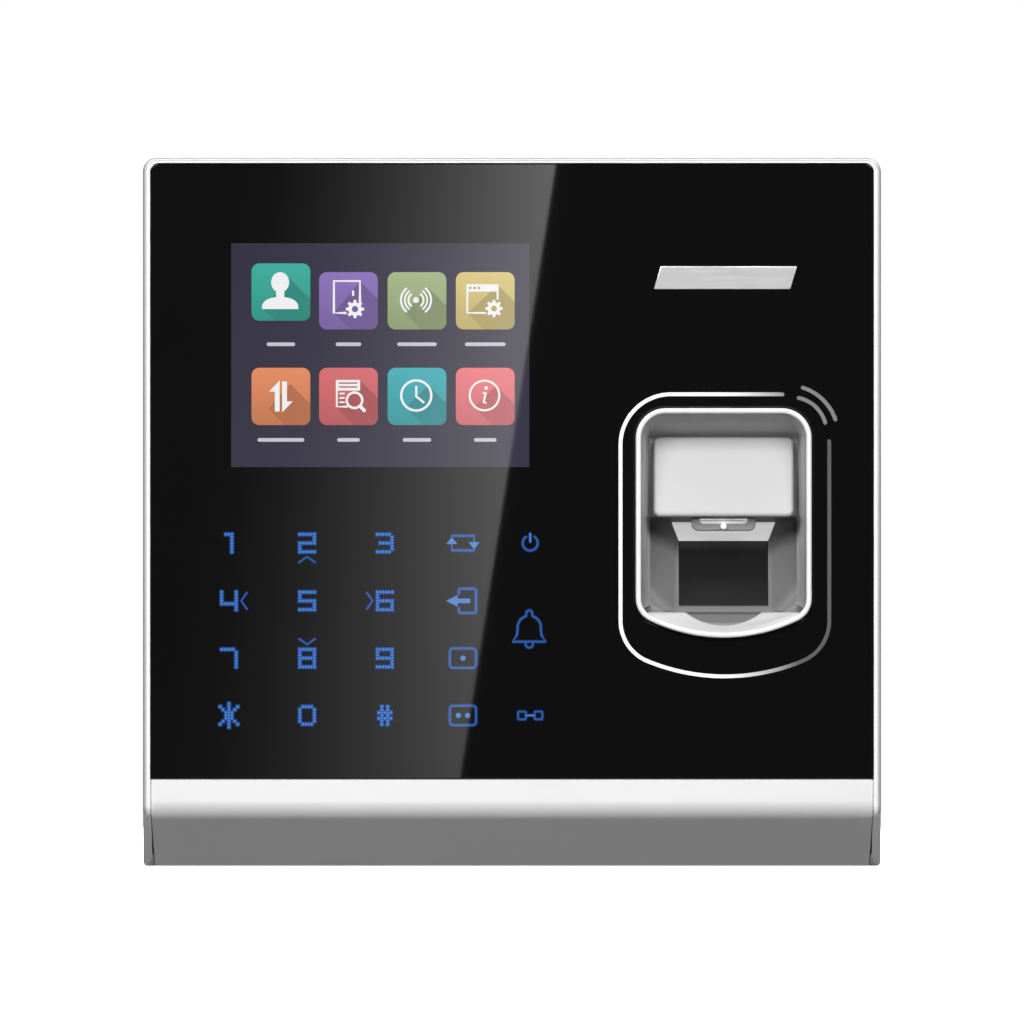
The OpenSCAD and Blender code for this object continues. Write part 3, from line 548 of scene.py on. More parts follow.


# %% Plated metal and the painted edge shade
def sheet_steel(name, base, rough=0.34, spangle=1.6, stretch=None):
    """Plated metal: crystals of slightly different brightness, and the fine lines left by rolling or turning."""
    finish = Finish(name)
    cells = {"Vector": finish.place(1 / spangle), "Scale": 1.0}
    crystal = finish.node("ShaderNodeTexVoronoi", inputs=cells, output=1)
    grey = finish.node("ShaderNodeRGBToBW", inputs=[crystal])
    lines = finish.noise(0.35, detail=4, stretch=stretch or (1.0, 1.0, 0.06))
    tone = grey * 0.25 + lines * 0.75
    dark, light = rgb(*(c * 0.86 for c in base)), rgb(*(min(c * 1.08, 1) for c in base))
    return finish.set(Base_Color=finish.mix(tone, dark, light), Metallic=0.82,
                      Roughness=tone.between(rough - 0.07, rough + 0.09), Normal=finish.bump(lines, 0.004))


FRAME_CORNER = 2.9


def edge_shaded_silver(name, base, metallic, rough):
    """Satin paint with painted shade on its front corner: the distance to the frame's rounded outline gives a mask for
    the outermost half millimetre, darker and more metallic, standing in for the shade of an edge that turns away."""
    finish = painted(name, base, metallic, rough)
    x, y, z = finish.axes()
    past_x = (abs(x) - (frame_high[0] - FRAME_CORNER)).maths("MAXIMUM", 0.0)
    past_z = (z - (frame_high[2] - FRAME_CORNER)).maths("MAXIMUM", 0.0)
    outward = (past_x * past_x + past_z * past_z).maths("SQRT") - FRAME_CORNER
    in_front = 1 - y.step(frame_low[1] + 0.5, frame_low[1] + 0.9)
    # Painted shade: a darker, more metallic colour on the outermost front corner, where the edge turns from the
    # lights.
    cut = outward.step(-0.95, -0.45) * in_front
    colour = Value(finish, finish.shader.inputs["Base Color"].links[0].from_socket)
    return finish.set(Base_Color=finish.mix(cut, colour, rgb(0.50, 0.50, 0.505)), Metallic=cut.between(metallic, 0.4))


# %% The finishes of the case and of small parts
FINISHES = {
    "silver_paint": painted("satin_silver_paint", (0.80, 0.80, 0.805), 0.25, 0.42),
    # Painted light: the frame's silver is a lighter copy of the chin's paint, so that its cheeks, which face down into
    # shade, come out brighter.
    "frame_silver_edge_shade": edge_shaded_silver("silver_with_painted_edge_shade", (0.88, 0.88, 0.885), 0.25, 0.42),
    "rim_silver": painted("rim_silver", (0.88, 0.88, 0.885), 0.15, 0.38, flake=0.03, tint=True),
    "liner_plastic": moulded("liner_plastic", (0.52, 0.52, 0.525), 0.58, vary=0.03, tint=True),
    "lit_plastic": moulded("pale_plastic_with_painted_glow", (0.80, 0.80, 0.805), 0.5, vary=0.02),
    "bezel_silver": painted("bright_satin_silver", (0.88, 0.88, 0.885), 0.15, 0.38, flake=0.03),
    "pale_plastic": moulded("pale_grey_plastic", (0.50, 0.50, 0.505), 0.55, vary=0.02),
    "grey_plastic": moulded("mid_grey_plastic", (0.36, 0.36, 0.365), 0.58, vary=0.04),
    "black_plastic": moulded("black_plastic", (0.020, 0.020, 0.021), 0.5),
    "dark_plastic": moulded("dark_grey_plastic", (0.040, 0.041, 0.044), 0.55, grain=0.35, depth=0.03),
    "white_plastic": moulded("white_plastic", (0.76, 0.75, 0.71), 0.45),
    "relay_blue": moulded("blue_relay_case", (0.03, 0.10, 0.36), 0.35, grain=0.5, depth=0.006),
    "terminal_green": moulded("green_terminal_plastic", (0.02, 0.18, 0.05), 0.42, grain=0.4),
    "terminal_blue": moulded("blue_terminal_plastic", (0.02, 0.12, 0.42), 0.42, grain=0.4),
    "button_red": moulded("red_button_cap", (0.52, 0.02, 0.015), 0.3, grain=0.5, depth=0.004, coat=0.4),
    "adhesive": moulded("black_foam", (0.018, 0.018, 0.018), 0.9, grain=0.6, depth=0.08),
    "zinc_steel": sheet_steel("zinc_plated_sheet", (0.62, 0.63, 0.64)),
    "screw_steel": sheet_steel("plated_screw", (0.58, 0.585, 0.59), 0.28, 0.8, (0.2, 1.0, 0.2)),
    "jack_steel": sheet_steel("tinned_shield", (0.60, 0.61, 0.615), 0.22, 6.0, (1.0, 1.0, 0.05)),
    "brass_insert": sheet_steel("knurled_brass", (0.70, 0.50, 0.20), 0.3, 0.7, (1.0, 1.0, 0.1)),
    "copper": sheet_steel("bare_copper", (0.78, 0.40, 0.22), 0.3, 1.2, (0.2, 1.0, 1.0)),
    "capacitor_can": sheet_steel("aluminium_can", (0.50, 0.52, 0.56), 0.3, 1.5, (1.0, 0.1, 1.0)),
}
# Painted light: the finger stop's plastic glows a little, though it holds no lamp, so that it stays bright in the
# hood's shade.
FINISHES["lit_plastic"].set(Emission_Color=rgb(1.0, 1.0, 1.0), Emission_Strength=0.42)
print(len(FINISHES), "finishes so far")


# %% [markdown]
# ## Finishes for glass, films and boards
#
# The front is clear acrylic that is printed black on its back, so its colour is nearly nothing and its gloss is
# everything. A perfect mirror looks like a hole, and a handled panel has a faint haze and a few wipe marks, which only
# change its roughness. The circuit board's green lacquer lies over copper tracks that show as a lighter net.

# %% Polished faces and the circuit board
def polished(name, base, low=0.004, high=0.008, wipe=30, coat=0.0):
    """A polished face: a dark body colour, and wipe marks that are long along X in the roughness."""
    finish = Finish(name)
    haze = finish.noise(wipe, detail=5, stretch=(0.35, 1.0, 1.0))
    dust = finish.noise(0.8, detail=2).step(0.74, 0.80)
    dark, light = rgb(*(c * 0.9 for c in base)), rgb(*(c * 1.1 for c in base))
    if coat:
        finish.set(Coat_Weight=coat, Coat_Roughness=0.03)
    return finish.set(Base_Color=finish.mix(haze, dark, light), Roughness=haze.between(low, high) + dust * 0.02)


def lacquered_board(name):
    """Green solder mask over copper: bundles of parallel tracks, along X in some patches and along Z in others, and
    round tinned pads on a loose grid. A sine wave of the position, cut off near its crests, gives parallel lines."""
    finish = Finish(name)
    x, _, z = finish.axes()
    wave = 2 * math.pi / 0.9
    along_x = (z * wave).maths("SINE").step(0.45, 0.65)
    along_z = (x * wave).maths("SINE").step(0.45, 0.65)
    patch, routed = finish.noise(11, detail=0).step(0.49, 0.51), finish.noise(5, detail=1).step(0.47, 0.49)
    track = (along_x * patch + along_z * (1 - patch)) * routed
    loose_grid = {"Vector": finish.place(1 / 2.54), "Scale": 1.0, "Randomness": 0.3}
    spots = finish.node("ShaderNodeTexVoronoi", inputs=loose_grid)
    pads = (1 - spots.step(0.13, 0.17)) * finish.noise(7, detail=0).step(0.52, 0.54)
    green = finish.mix(track, rgb(0.010, 0.085, 0.030), rgb(0.030, 0.170, 0.060))
    return finish.set(Base_Color=finish.mix(pads, green, rgb(0.55, 0.56, 0.52)), Roughness=track.between(0.28, 0.22),
                      Metallic=pads * 0.8, Normal=finish.bump(track, 0.035))


# %% Cables, foil and optical glass
def flexible(name, base, line):
    """A flat cable: fine copper lines side by side under a glossy film."""
    finish = Finish(name)
    x, _, z = finish.axes()
    wires = ((x + z) * 3.1).maths("SINE").step(0.2, 0.7)
    film = finish.noise(5, detail=2)
    return finish.set(Base_Color=finish.mix(wires, rgb(*base), rgb(*line)), Roughness=film.between(0.22, 0.34))


def brushed_foil(name, base):
    """A blank foil label: fine brushed lines along X under a clear varnish."""
    finish = Finish(name)
    brush = finish.noise(0.3, detail=4, stretch=(0.03, 1.0, 1.0))
    return finish.set(Base_Color=finish.mix(brush, rgb(*(c * 0.88 for c in base)), rgb(*base)), Metallic=0.7,
                      Roughness=brush.between(0.24, 0.38), Normal=finish.bump(brush, 0.003))


def clear_block(name, base):
    """Optical glass, with a cloudy tint."""
    finish = Finish(name)
    tint = finish.noise(6)
    return finish.set(Base_Color=finish.mix(tint, rgb(*base), rgb(*(c * 1.05 for c in base))), Roughness=0.03,
                      Transmission_Weight=0.85, IOR=1.52)


# %% The finishes of the front and of the inside
FINISHES |= {
    "black_panel": polished("printed_black_glass", (0.0046, 0.0046, 0.0048)),
    "sensor_glass": polished("hard_coated_window", (0.0065, 0.0065, 0.0070), 0.26, 0.34, wipe=5),
    "display_glass": polished("dark_display", (0.02, 0.018, 0.03), 0.08, 0.14),
    "light_guide": polished("light_guide", (0.82, 0.84, 0.86), 0.2, 0.3),
    "circuit_board": lacquered_board("green_circuit_board"),
    "flex_amber": flexible("amber_flat_cable", (0.42, 0.17, 0.02), (0.62, 0.30, 0.08)),
    "flex_white": flexible("white_flat_cable", (0.74, 0.72, 0.65), (0.55, 0.52, 0.47)),
    "label_paper": brushed_foil("blank_foil_label", (0.72, 0.73, 0.74)),
    "prism_glass": clear_block("prism_glass", (0.80, 0.88, 0.92)),
}

white_lit = Finish("lit_dome")
spread = white_lit.noise(0.5)
white_lit.set(Base_Color=white_lit.mix(spread, rgb(0.9, 0.92, 0.95), rgb(1, 1, 1)), Roughness=0.12,
              Emission_Color=rgb(0.95, 0.98, 1.0), Emission_Strength=0.25)
FINISHES["light_lens"] = white_lit
SLOT_OF = {part["node"]: part["material_slot"] for part in frame["record"]["subparts"]}
for node, piece in nodes.items():
    piece.data.materials.clear()
    piece.data.materials.append(FINISHES[SLOT_OF[node]].material)
print(len(FINISHES), "finishes on", len(nodes), "nodes")


# %% [markdown]
# ## Designed nodes with soft edges
#
# A real case never has a knife edge: paint and moulding leave a small radius, and that radius is the thin bright or
# grey line that outlines the object. A designed node has all its holes in the right places, so a copy of it is kept
# and only chosen edges are rounded. Its triangles are merged first. Then each convex edge gets a weight, and one Bevel
# modifier rounds it by that share of a width. The frame and the plate also have their flat regions joined to single
# faces and are shaded smooth, so that their round corners look round. The small boxy parts stay flat shaded.

# %% Rounded copies
MERGE, CORNER_ANGLE, FLAT_ANGLE = 0.002, math.radians(25), math.radians(0.5)


def softened(node, width, weigh, finish=None, segments=3, join=True):
    """Merges a copy of a node and gives each sharp convex edge the weight that weigh() returns for the edges' two
    end points in millimetres. With join, flat regions become one face each and the shading is smooth."""
    mesh = nodes[node].data.copy()
    mesh.name = "soft_" + node
    work = bmesh.new()
    work.from_mesh(mesh)
    bmesh.ops.remove_doubles(work, verts=work.verts, dist=MERGE * MM)
    if join:
        bmesh.ops.dissolve_limit(work, angle_limit=FLAT_ANGLE, verts=work.verts, edges=work.edges)
    convex = np.array([e.is_manifold and e.is_convex and e.calc_face_angle(0) > CORNER_ANGLE for e in work.edges])
    work.to_mesh(mesh)
    work.free()
    points = np.zeros(len(mesh.vertices) * 3)
    mesh.vertices.foreach_get("co", points)
    ends = np.zeros(len(mesh.edges) * 2, int)
    mesh.edges.foreach_get("vertices", ends)
    ends = points.reshape(-1, 3)[ends.reshape(-1, 2)] / MM
    weights = np.clip(weigh(ends[:, 0], ends[:, 1]), 0, 1) * convex
    layer = mesh.attributes.new("bevel_weight_edge", "FLOAT", "EDGE")
    layer.data.foreach_set("value", weights.astype(np.float32))
    mesh.set_sharp_from_angle(angle=math.radians(30))
    mesh.polygons.foreach_set("use_smooth", np.full(len(mesh.polygons), join))
    piece = bpy.data.objects.new("soft_" + node, mesh)
    scene.collection.objects.link(piece)
    bevel = piece.modifiers.new("soft_edges", "BEVEL")
    bevel.limit_method, bevel.width, bevel.segments = "WEIGHT", width * MM, segments
    bevel.harden_normals, bevel.use_clamp_overlap = join, False
    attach(piece, nodes[node]["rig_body"])
    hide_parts(node)
    paint(piece, finish or FINISHES[SLOT_OF[node]])
    print(piece.name, len(mesh.vertices), "points,", int((weights > 0).sum()), "soft edges")
    return piece


# %% Which edges are soft
NEAR = 0.01


def frame_edges(a, b):
    """The front corner of the frame, along its sides, round its two upper corners and along its top."""
    x, z = (a[:, 0] + b[:, 0]) / 2, (a[:, 2] + b[:, 2]) / 2
    past_x = np.maximum(abs(x) - frame_high[0] + FRAME_CORNER, 0)
    past_z = np.maximum(z - frame_high[2] + FRAME_CORNER, 0)
    return np.hypot(past_x, past_z) > FRAME_CORNER - 0.1


def face_edges(a, b):
    """Every edge that runs along a face of the plate, and none across its thickness."""
    return abs(a[:, 1] - b[:, 1]) < NEAR


def box_edges(node):
    """The outer edges of a boxy node: both ends of the edge lie on the same two faces of the node's box."""
    low, high = box_mm(node)

    def weigh(a, b):
        off_face = [np.minimum(abs(end - low), abs(end - high)) for end in (a, b)]
        return ((np.maximum(*off_face) < NEAR) & (abs(a - b) < NEAR)).sum(1) >= 2

    return weigh


softened("front_frame", 0.55, frame_edges, FINISHES["frame_silver_edge_shade"])
softened("wall_plate", 0.16, face_edges, segments=2)
for node, width in (("ethernet_jack", 0.35), ("power_terminal", 0.3), ("wiring_terminal_left", 0.25),
                    ("wiring_terminal_right", 0.25), ("reset_switch", 0.15)):
    softened(node, width, box_edges(node), join=False)


# %% [markdown]
# ## The chin
#
# Below the glass the silver turns over a rounded bend and slopes back to the underside. It is one bent strip, so it
# is one cross-section carried along X: an upright face, an arc and a slope in front, and the same line set back by
# the strip's thickness behind. Its ends are drawn in a little, which rounds them. Lower down the strip is narrower,
# because the cheeks of the frame lean in.

# %% Bent strip
CHIN_THICK, CHIN_RADIUS, CHIN_TAPER = 1.8, 5.0, 0.7
BEND_Z, SLOPE_RUN, HOLD = -61.8, 13.0, 0.05
CHIN_FRONT = chin_low[1]


def chin_line(set_back):
    """Y and Z down the strip: straight, then an arc, then straight to the underside. A point just before and just
    after the arc keeps the flats flat where the shading is smooth."""
    drop, run = BEND_Z - chin_low[2], SLOPE_RUN
    n = np.array([drop, run]) / math.hypot(drop, run)
    turn = math.atan2(n[1], n[0])
    a = np.linspace(0, turn, 14)
    centre = np.array([CHIN_FRONT + CHIN_RADIUS, BEND_Z + CHIN_RADIUS * (1 - n[0]) / n[1]])
    bend = centre - (CHIN_RADIUS - set_back) * np.stack([np.cos(a), np.sin(a)], -1)
    down = np.array([n[1], -n[0]])
    foot = bend[-1] + down * (chin_low[2] - bend[-1, 1]) / down[1]
    return np.vstack([[CHIN_FRONT + set_back, chin_high[2]],
                      bend[0] + (0, HOLD), bend, bend[-1] + down * HOLD, foot])


section = np.vstack([chin_line(0), chin_line(CHIN_THICK)[::-1]])
taper = np.clip((BEND_Z - section[:, 1]) / (BEND_Z - chin_low[2]), 0, 1) * CHIN_TAPER
END_STEPS = [(0.0, 0.22), (0.06, 0.08), (0.22, 0.0)]
rings = []
for side in (-1, 1):
    for out, pull in END_STEPS[::-side]:
        cut = inset(section, pull) if pull else section
        rings.append(np.stack([side * (chin_high[0] - out - taper), cut[:, 0], cut[:, 1]], -1))
chin = Skin().loft(rings).make("chin_strip", sharp=35)
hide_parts("chin_trim")
paint(chin, FINISHES["silver_paint"])


# %% [markdown]
# ## The outline of the finger bay
#
# The bay's rim, the hole in the glass, the walls and the printed line around it all follow one outline: round upper
# corners, upright sides and a bowed bottom. So the outline is worked out once, as points at even steps with a
# direction outwards for each, and every piece takes it at its own distance. Even steps keep the quads of
# neighbouring rings square.

# %% Bay outline
BAY_POINTS = 320
FLANGE = 2.0
BAY_HALF = (bezel_high[0] - bezel_low[0]) / 2 - FLANGE
BAY_TOP, BAY_LOW = bezel_high[2] - FLANGE, bezel_low[2] + FLANGE
R_TOP, R_LOW, R_BOW = 6.2, 5.0, 35.0


def resample(path, count, closed=True):
    """Points at even steps of length along a path."""
    path = np.asarray(path, float)
    path = np.vstack([path, path[:1]]) if closed else path
    along = np.concatenate([[0], np.cumsum(np.linalg.norm(np.diff(path, axis=0), axis=1))])
    t = np.linspace(0, along[-1], count, endpoint=not closed)
    return np.stack([np.interp(t, along, path[:, i]) for i in (0, 1)], -1)


def bowed_outline(half, top, low, r_top, r_low, r_bow, n=60):
    """Arcs in turn: two upper corners, a lower corner, the bow and the other lower corner, all tangent."""
    cz = low + r_bow
    side = half - r_low
    corner_z = cz - math.sqrt((r_bow - r_low) ** 2 - side ** 2)
    t = math.degrees(math.atan2(corner_z - cz, side))
    return np.vstack([arc(half - r_top, top - r_top, r_top, 0, 90, n),
                      arc(r_top - half, top - r_top, r_top, 90, 180, n),
                      arc(-side, corner_z, r_low, 180, 180 - t, n),
                      arc(0, cz, r_bow, 180 - t, 360 + t, 2 * n)[1:-1],
                      arc(side, corner_z, r_low, 360 + t, 360, n)])


def outwards(outline):
    """The unit direction out of a closed outline that runs anticlockwise: its tangent turned by a right angle."""
    t = np.roll(outline, -1, 0) - np.roll(outline, 1, 0)
    t /= np.linalg.norm(t, axis=1, keepdims=True)
    return np.stack([t[:, 1], -t[:, 0]], -1)


BAY = resample(bowed_outline(BAY_HALF, BAY_TOP, BAY_LOW, R_TOP, R_LOW, R_BOW), BAY_POINTS) + (BAY_X, 0)
BAY_OUT = outwards(BAY)


def bay(g):
    """The bay's outline, grown by g."""
    return BAY + BAY_OUT * np.asarray(g, float)[..., None]


print("bay", round(float(2 * BAY_HALF), 2), "x", round(float(BAY_TOP - BAY_LOW), 2), "mm")


# %% [markdown]
# ## The glass
#
# The panel is a thin slab with a hole. Its faces have to run from the hole's edge to the outer edge, so every point of
# either outline gets a partner on the other one, on the same ray from the middle of the bay. The rings then go round
# like a tube: out across the front, over a polished edge, back across the rear and round the hole. The polished edges
# are a fifth of a millimetre, and they catch the thin bright line that tells the eye where the glass ends.

# %% Slab with a hole
def rays(outline, centre, angles):
    """Where rays at those angles from a point inside meet an outline: on each segment p + t (q - p), t makes the
    cross product with the ray's direction nothing."""
    p = np.asarray(outline, float) - centre
    turn = np.unwrap(np.arctan2(p[:, 1], p[:, 0]))
    start = np.argmin(turn % (2 * np.pi))
    p = np.roll(p, -start, 0)
    turn = np.arctan2(p[:, 1], p[:, 0]) % (2 * np.pi)
    p, turn = np.vstack([p[-1:], p, p[:1]]), np.concatenate([[turn[-1] - 2 * np.pi], turn, [turn[0] + 2 * np.pi]])
    i = np.clip(np.searchsorted(turn, angles, side="right") - 1, 0, len(turn) - 2)
    d = np.stack([np.cos(angles), np.sin(angles)], -1)
    a, b = p[i], p[i + 1]
    ca, cb = a[:, 0] * d[:, 1] - a[:, 1] * d[:, 0], b[:, 0] * d[:, 1] - b[:, 1] * d[:, 0]
    t = np.where(abs(ca - cb) > 1e-12, ca / np.where(abs(ca - cb) > 1e-12, ca - cb, 1), 0)
    return a + (b - a) * t[:, None] + centre


# %% Rings of the glass
EDGE, HOLE_GAP = 0.2, 0.25
glass_outer = rounded_rect(glass_low[0], glass_high[0], glass_low[2], glass_high[2], (1.9, 1.9, 0.3, 0.3), n=10)
glass_outer = np.vstack([glass_outer, resample(glass_outer, 120)])
centre = np.array([BAY_X, (BAY_TOP + BAY_LOW) / 2])
hole = bay(HOLE_GAP)
order = np.argsort(np.arctan2(*(glass_outer - centre).T[::-1]) % (2 * np.pi))
glass_outer = glass_outer[order]
angles = np.unique(np.round(np.concatenate([np.arctan2(*(o - centre).T[::-1]) % (2 * np.pi)
                                            for o in (glass_outer, hole)]), 5))
outer, inner = rays(glass_outer, centre, angles), rays(hole, centre, angles)
rings = [at_depth(inner, GLASS_BACK)]
rings += [at_depth(inner + outwards(inner) * d, GLASS_Y + y) for d, y in edge_steps(EDGE)]
rings += [at_depth(outer - outwards(outer) * d, GLASS_Y + y) for d, y in edge_steps(EDGE)[::-1]]
rings += [at_depth(outer, GLASS_BACK)]
glass = Skin().loft(rings, ring=True).make("glass_panel", sharp=60)
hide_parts("front_glass")
paint(glass, FINISHES["black_panel"])


# %% [markdown]
# ## The rim and its lip
#
# A bright ring stands a little proud of the glass. Its cross-section is a rounded bar, so rings of the bay's outline
# go round that bar like the steps of a tube. At the bottom a lip slopes back into the bay, with a round scoop in it
# where the finger lies. The lip is the region between the bow and a level line, less the scoop's circle, and its
# front leans back with height.

# %% Bright rim
RIM_WIDTH, RIM_FRONT, RIM_BACK = 1.15, bezel_low[1], GLASS_BACK - 0.1
RIM_ROUND = 0.5
turns = np.radians(np.linspace(0, 90, 6))
rim_steps = [(0.0, RIM_BACK)]
rim_steps += [(-RIM_ROUND * (1 - math.cos(a)), RIM_FRONT + RIM_ROUND * (1 - math.sin(a))) for a in turns]
rim_steps += [(-RIM_WIDTH + RIM_ROUND * (1 - math.cos(a)), RIM_FRONT + RIM_ROUND * (1 - math.sin(a)))
              for a in turns[::-1]]
rim_steps += [(-RIM_WIDTH - 0.1, RIM_BACK + 2.6)]
rim_skin = Skin().loft([at_depth(bay(g), y) for g, y in rim_steps], ring=True)

# %% Scooped lip
LIP_Z, SCOOP_Z, SCOOP_R = -20.6, -10.5, 12.8
# Painted shade: the lip is the rim's own silver darkened through its tint, so that its face, which leans back towards
# the lights, comes out grey.
LIP_PAINTED_SHADE = (0.38, 0.38, 0.38)
LIP_FRONT, LIP_LEAN, LIP_BACK = GLASS_Y + 0.1, 0.42, GLASS_Y + 3.5
edge = bay(-RIM_WIDTH + 0.35)
edge = edge[edge[:, 1] < LIP_Z]
edge = edge[np.argsort(edge[:, 0])]
reach = math.degrees(math.acos((LIP_Z - SCOOP_Z) / SCOOP_R)) - 90
scoop = arc(BAY_X, SCOOP_Z, SCOOP_R, -reach, reach - 180, 40)
lip = np.vstack([edge, [[edge[-1, 0], LIP_Z]], scoop, [[edge[0, 0], LIP_Z]]])
lip = resample(lip, 240)
lean = LIP_FRONT + (lip[:, 1] - BAY_LOW) * LIP_LEAN
lip_rings = [at_depth(lip, LIP_BACK)] + [at_depth(inset(lip, d), lean + y) for d, y in edge_steps(0.25, 3)]
rim_skin.loft(lip_rings, tint=LIP_PAINTED_SHADE)
rim = rim_skin.make("bay_rim", sharp=50, tinted=True)
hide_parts("scanner_bezel")
paint(rim, FINISHES["rim_silver"])


# %% [markdown]
# ## The bay's liner
#
# The liner is one moulding: walls that lean in from the rim, a ceiling, a flat back for the hood, and a trough whose
# floor slopes up to the sensor. Seen from the front none of these hides another, so the whole liner is one depth for
# each X and Z. Each plane gives a depth, and the surface is the nearest or the farthest of them, joined with a smooth
# minimum: where two depths are closer than a blend width, the result bows between them, which rounds the corner. The
# grid is polar, shrinking the bay's outline towards its middle, so that the walls follow the outline exactly.

# %% Depths of the trough and the pocket
SENSOR = np.array([BAY_X, GLASS_Y + 10, -12.7])
TILT = math.radians(48.2)
FLOOR_LOW, FLOOR_HIGH, STOP_END = -13, (9.3, 0), (11.8, 4.6)
RAMP_FROM, RAMP_WIDTH, RAMP_RISE = 9.9, 7.35, 4.6
SHALLOWEST, POCKET_BACK = GLASS_Y + 2.5, GLASS_Y + 10.5
CEILING_Y, CEILING_Z, CEILING_SLOPE = -23, 15.9, 2.07
POCKET_FROM, POCKET_BLEND = -1.6, 0.8
SLOPE, OUT = np.array([math.cos(TILT), math.sin(TILT)]), np.array([-math.sin(TILT), math.cos(TILT)])


def smooth_min(a, b, width):
    """The lower of two heights, bowed below both by up to a quarter of the width where they cross."""
    h = np.clip(0.5 + 0.5 * (b - a) / width, 0, 1)
    return b + (a - b) * h - width * h * (1 - h)


def smooth_max(a, b, width):
    """The higher of two heights, bowed above both where they cross."""
    return -smooth_min(-a, -b, width)


def plane_depth(z, l0, d0, l1, d1):
    """Y of a plane that holds two points of the sensor's frame, at height z, by the straight line through them."""
    (y0, z0), (y1, z1) = [SENSOR[1:] + l * SLOPE + d * OUT for l, d in ((l0, d0), (l1, d1))]
    return y0 + (z - z0) * (y1 - y0) / (z1 - z0)


def liner_depth(x, z):
    """Y of the liner's front at a point: the trough's planes, the pocket's back and ceiling, and the side ramps."""
    side = abs(x - BAY_X)
    floor_y = plane_depth(z, FLOOR_LOW, 0, *FLOOR_HIGH)
    rise = np.clip(side - RAMP_FROM, 0, None) * RAMP_RISE / RAMP_WIDTH
    ramp_y = floor_y - rise / OUT[1]
    trough = smooth_max(smooth_min(ramp_y, plane_depth(z, *FLOOR_HIGH, *STOP_END), 1.0), SHALLOWEST, 1.5)
    behind_lip = np.clip((LIP_Z + 0.05 - z) / 0.4, 0, 1)
    trough = np.maximum(trough, trough * (1 - behind_lip) + (LIP_BACK + 0.1) * behind_lip)
    pocket = smooth_min(np.full_like(z, POCKET_BACK), CEILING_Y - (z - CEILING_Z) * CEILING_SLOPE, 1.2)
    t = np.clip((z - POCKET_FROM) / POCKET_BLEND, 0, 1)
    t = t * t * (3 - 2 * t)
    return trough * (1 - t) + pocket * t


# %% Walls and floor of the liner
WALL_LEAN = 1.6
LINER_FRONT, LINER_BACK = GLASS_Y + 0.6, box_mm("finger_channel")[1][1]
spread = 1 - np.linspace(0, 1, 110)[:-1] ** 0.9
outline = bay(-RIM_WIDTH - 0.1 - WALL_LEAN)
shrunk = centre + (outline - centre) * spread[:, None, None]
floor_y = liner_depth(shrunk[..., 0], shrunk[..., 1])
wall_in = np.linspace(0, 1, 16)[:, None]
foot = floor_y[0]
top = np.where(BAY[:, 1] < LIP_Z - 0.1, LIP_BACK + 0.1, LINER_FRONT)
wall_y = top + (foot - top) * wall_in
wall_g = -RIM_WIDTH - 0.1 - WALL_LEAN * wall_in ** 1.15 * np.ones_like(foot)
walls = [at_depth(bay(g), y) for g, y in zip(wall_g, wall_y)]
rings = [at_depth(bay(-RIM_WIDTH - 0.1), LINER_BACK)] + walls
rings += [np.stack([s[:, 0], y, s[:, 1]], -1) for s, y in zip(shrunk[1:], floor_y[1:])]
rings = np.array(rings)

# %% Painted shade of the liner
FLOOR_PAINTED_SHADE, LOW_WALL_PAINTED_SHADE = 0.72, 0.5
# Painted shade: the floor below the hood is darkened where the hood shades it, and the walls darken towards the
# bottom, where they face up into the lights.
dark = np.clip((-0.6 - rings[..., 2]) / 0.6, 0, 1) * (np.arange(len(rings)) > len(walls))[:, None]
low_wall_shade_mask = np.clip((-6 - rings[..., 2]) / 10, 0, 1) * (1 - dark)
shade = (1 - FLOOR_PAINTED_SHADE * dark - LOW_WALL_PAINTED_SHADE * low_wall_shade_mask).reshape(-1, 1) * np.ones(3)
liner = Skin().loft(rings, tint=shade).make("bay_liner", sharp=60, tinted=True)
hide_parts("finger_channel")
paint(liner, FINISHES["liner_plastic"])


# %% [markdown]
# ## Hood, finger stop, light bar and window
#
# The hood is a pale block whose front leans, so its depth is a number for each point of its outline, and its edges are
# rounded over almost a millimetre. The finger stop is a small pale plate above the window. The light bar carries a
# clear dome: a half circle turned about its axis, which is lit from behind.

# %% Hood
def block_y(outline, front, low, high, at_low, at_high):
    """The front's depth for each point: a straight line from one height to another."""
    t = (outline[:, 1] - low) / (high - low)
    return front + at_low * (1 - t) + at_high * t


hood_outline = rounded_rect(hood_low[0], hood_high[0], hood_low[2], hood_high[2], 1.4, n=10)
hood_front = block_y(hood_outline, 0, hood_low[2], hood_high[2], hood_low[1], hood_low[1] + 3.0)
hood = plate(Skin(), hood_outline, hood_front, hood_high[1], edge=0.7, steps=5).make("hood_block", sharp=60)
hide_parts("scanner_hood")
paint(hood, FINISHES["pale_plastic"])

# %% Light bar and its dome
# Painted shade and highlight: the bar's body is the rim's silver darkened through its tint, and the raised bulge keeps
# the full bright silver for an upper face that catches the light.
BAR_PAINTED_SHADE, BAR_LEAN = (0.36, 0.36, 0.36), 0.9
bar_low, bar_high = box_mm("status_light_bar")
bar_outline = rounded_rect(bar_low[0], bar_high[0], bar_low[2], bar_high[2], (0.5, 0.5, 1.4, 1.4), n=8)
bar_front = block_y(bar_outline, 0, bar_low[2], bar_high[2], bar_low[1] + BAR_LEAN, bar_low[1])
bar_skin = plate(Skin(), bar_outline, bar_front, bar_high[1], edge=0.45, steps=4, tint=BAR_PAINTED_SHADE)
bulge = rounded_rect(bar_low[0] + 1.5, bar_high[0] - 1.5, bar_low[2] + 1.3, bar_high[2] - 0.1,
                     (0.3, 0.3, 1.0, 1.0), n=8)
bulge_front = block_y(bulge, 0, bar_low[2], bar_high[2], bar_low[1] + BAR_LEAN, bar_low[1])
bar = plate(bar_skin, bulge, bulge_front - 0.3, bar_high[1] - 0.5, edge=0.5).make("light_bar", sharp=60, tinted=True)
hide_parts("status_light_bar")
paint(bar, FINISHES["rim_silver"])

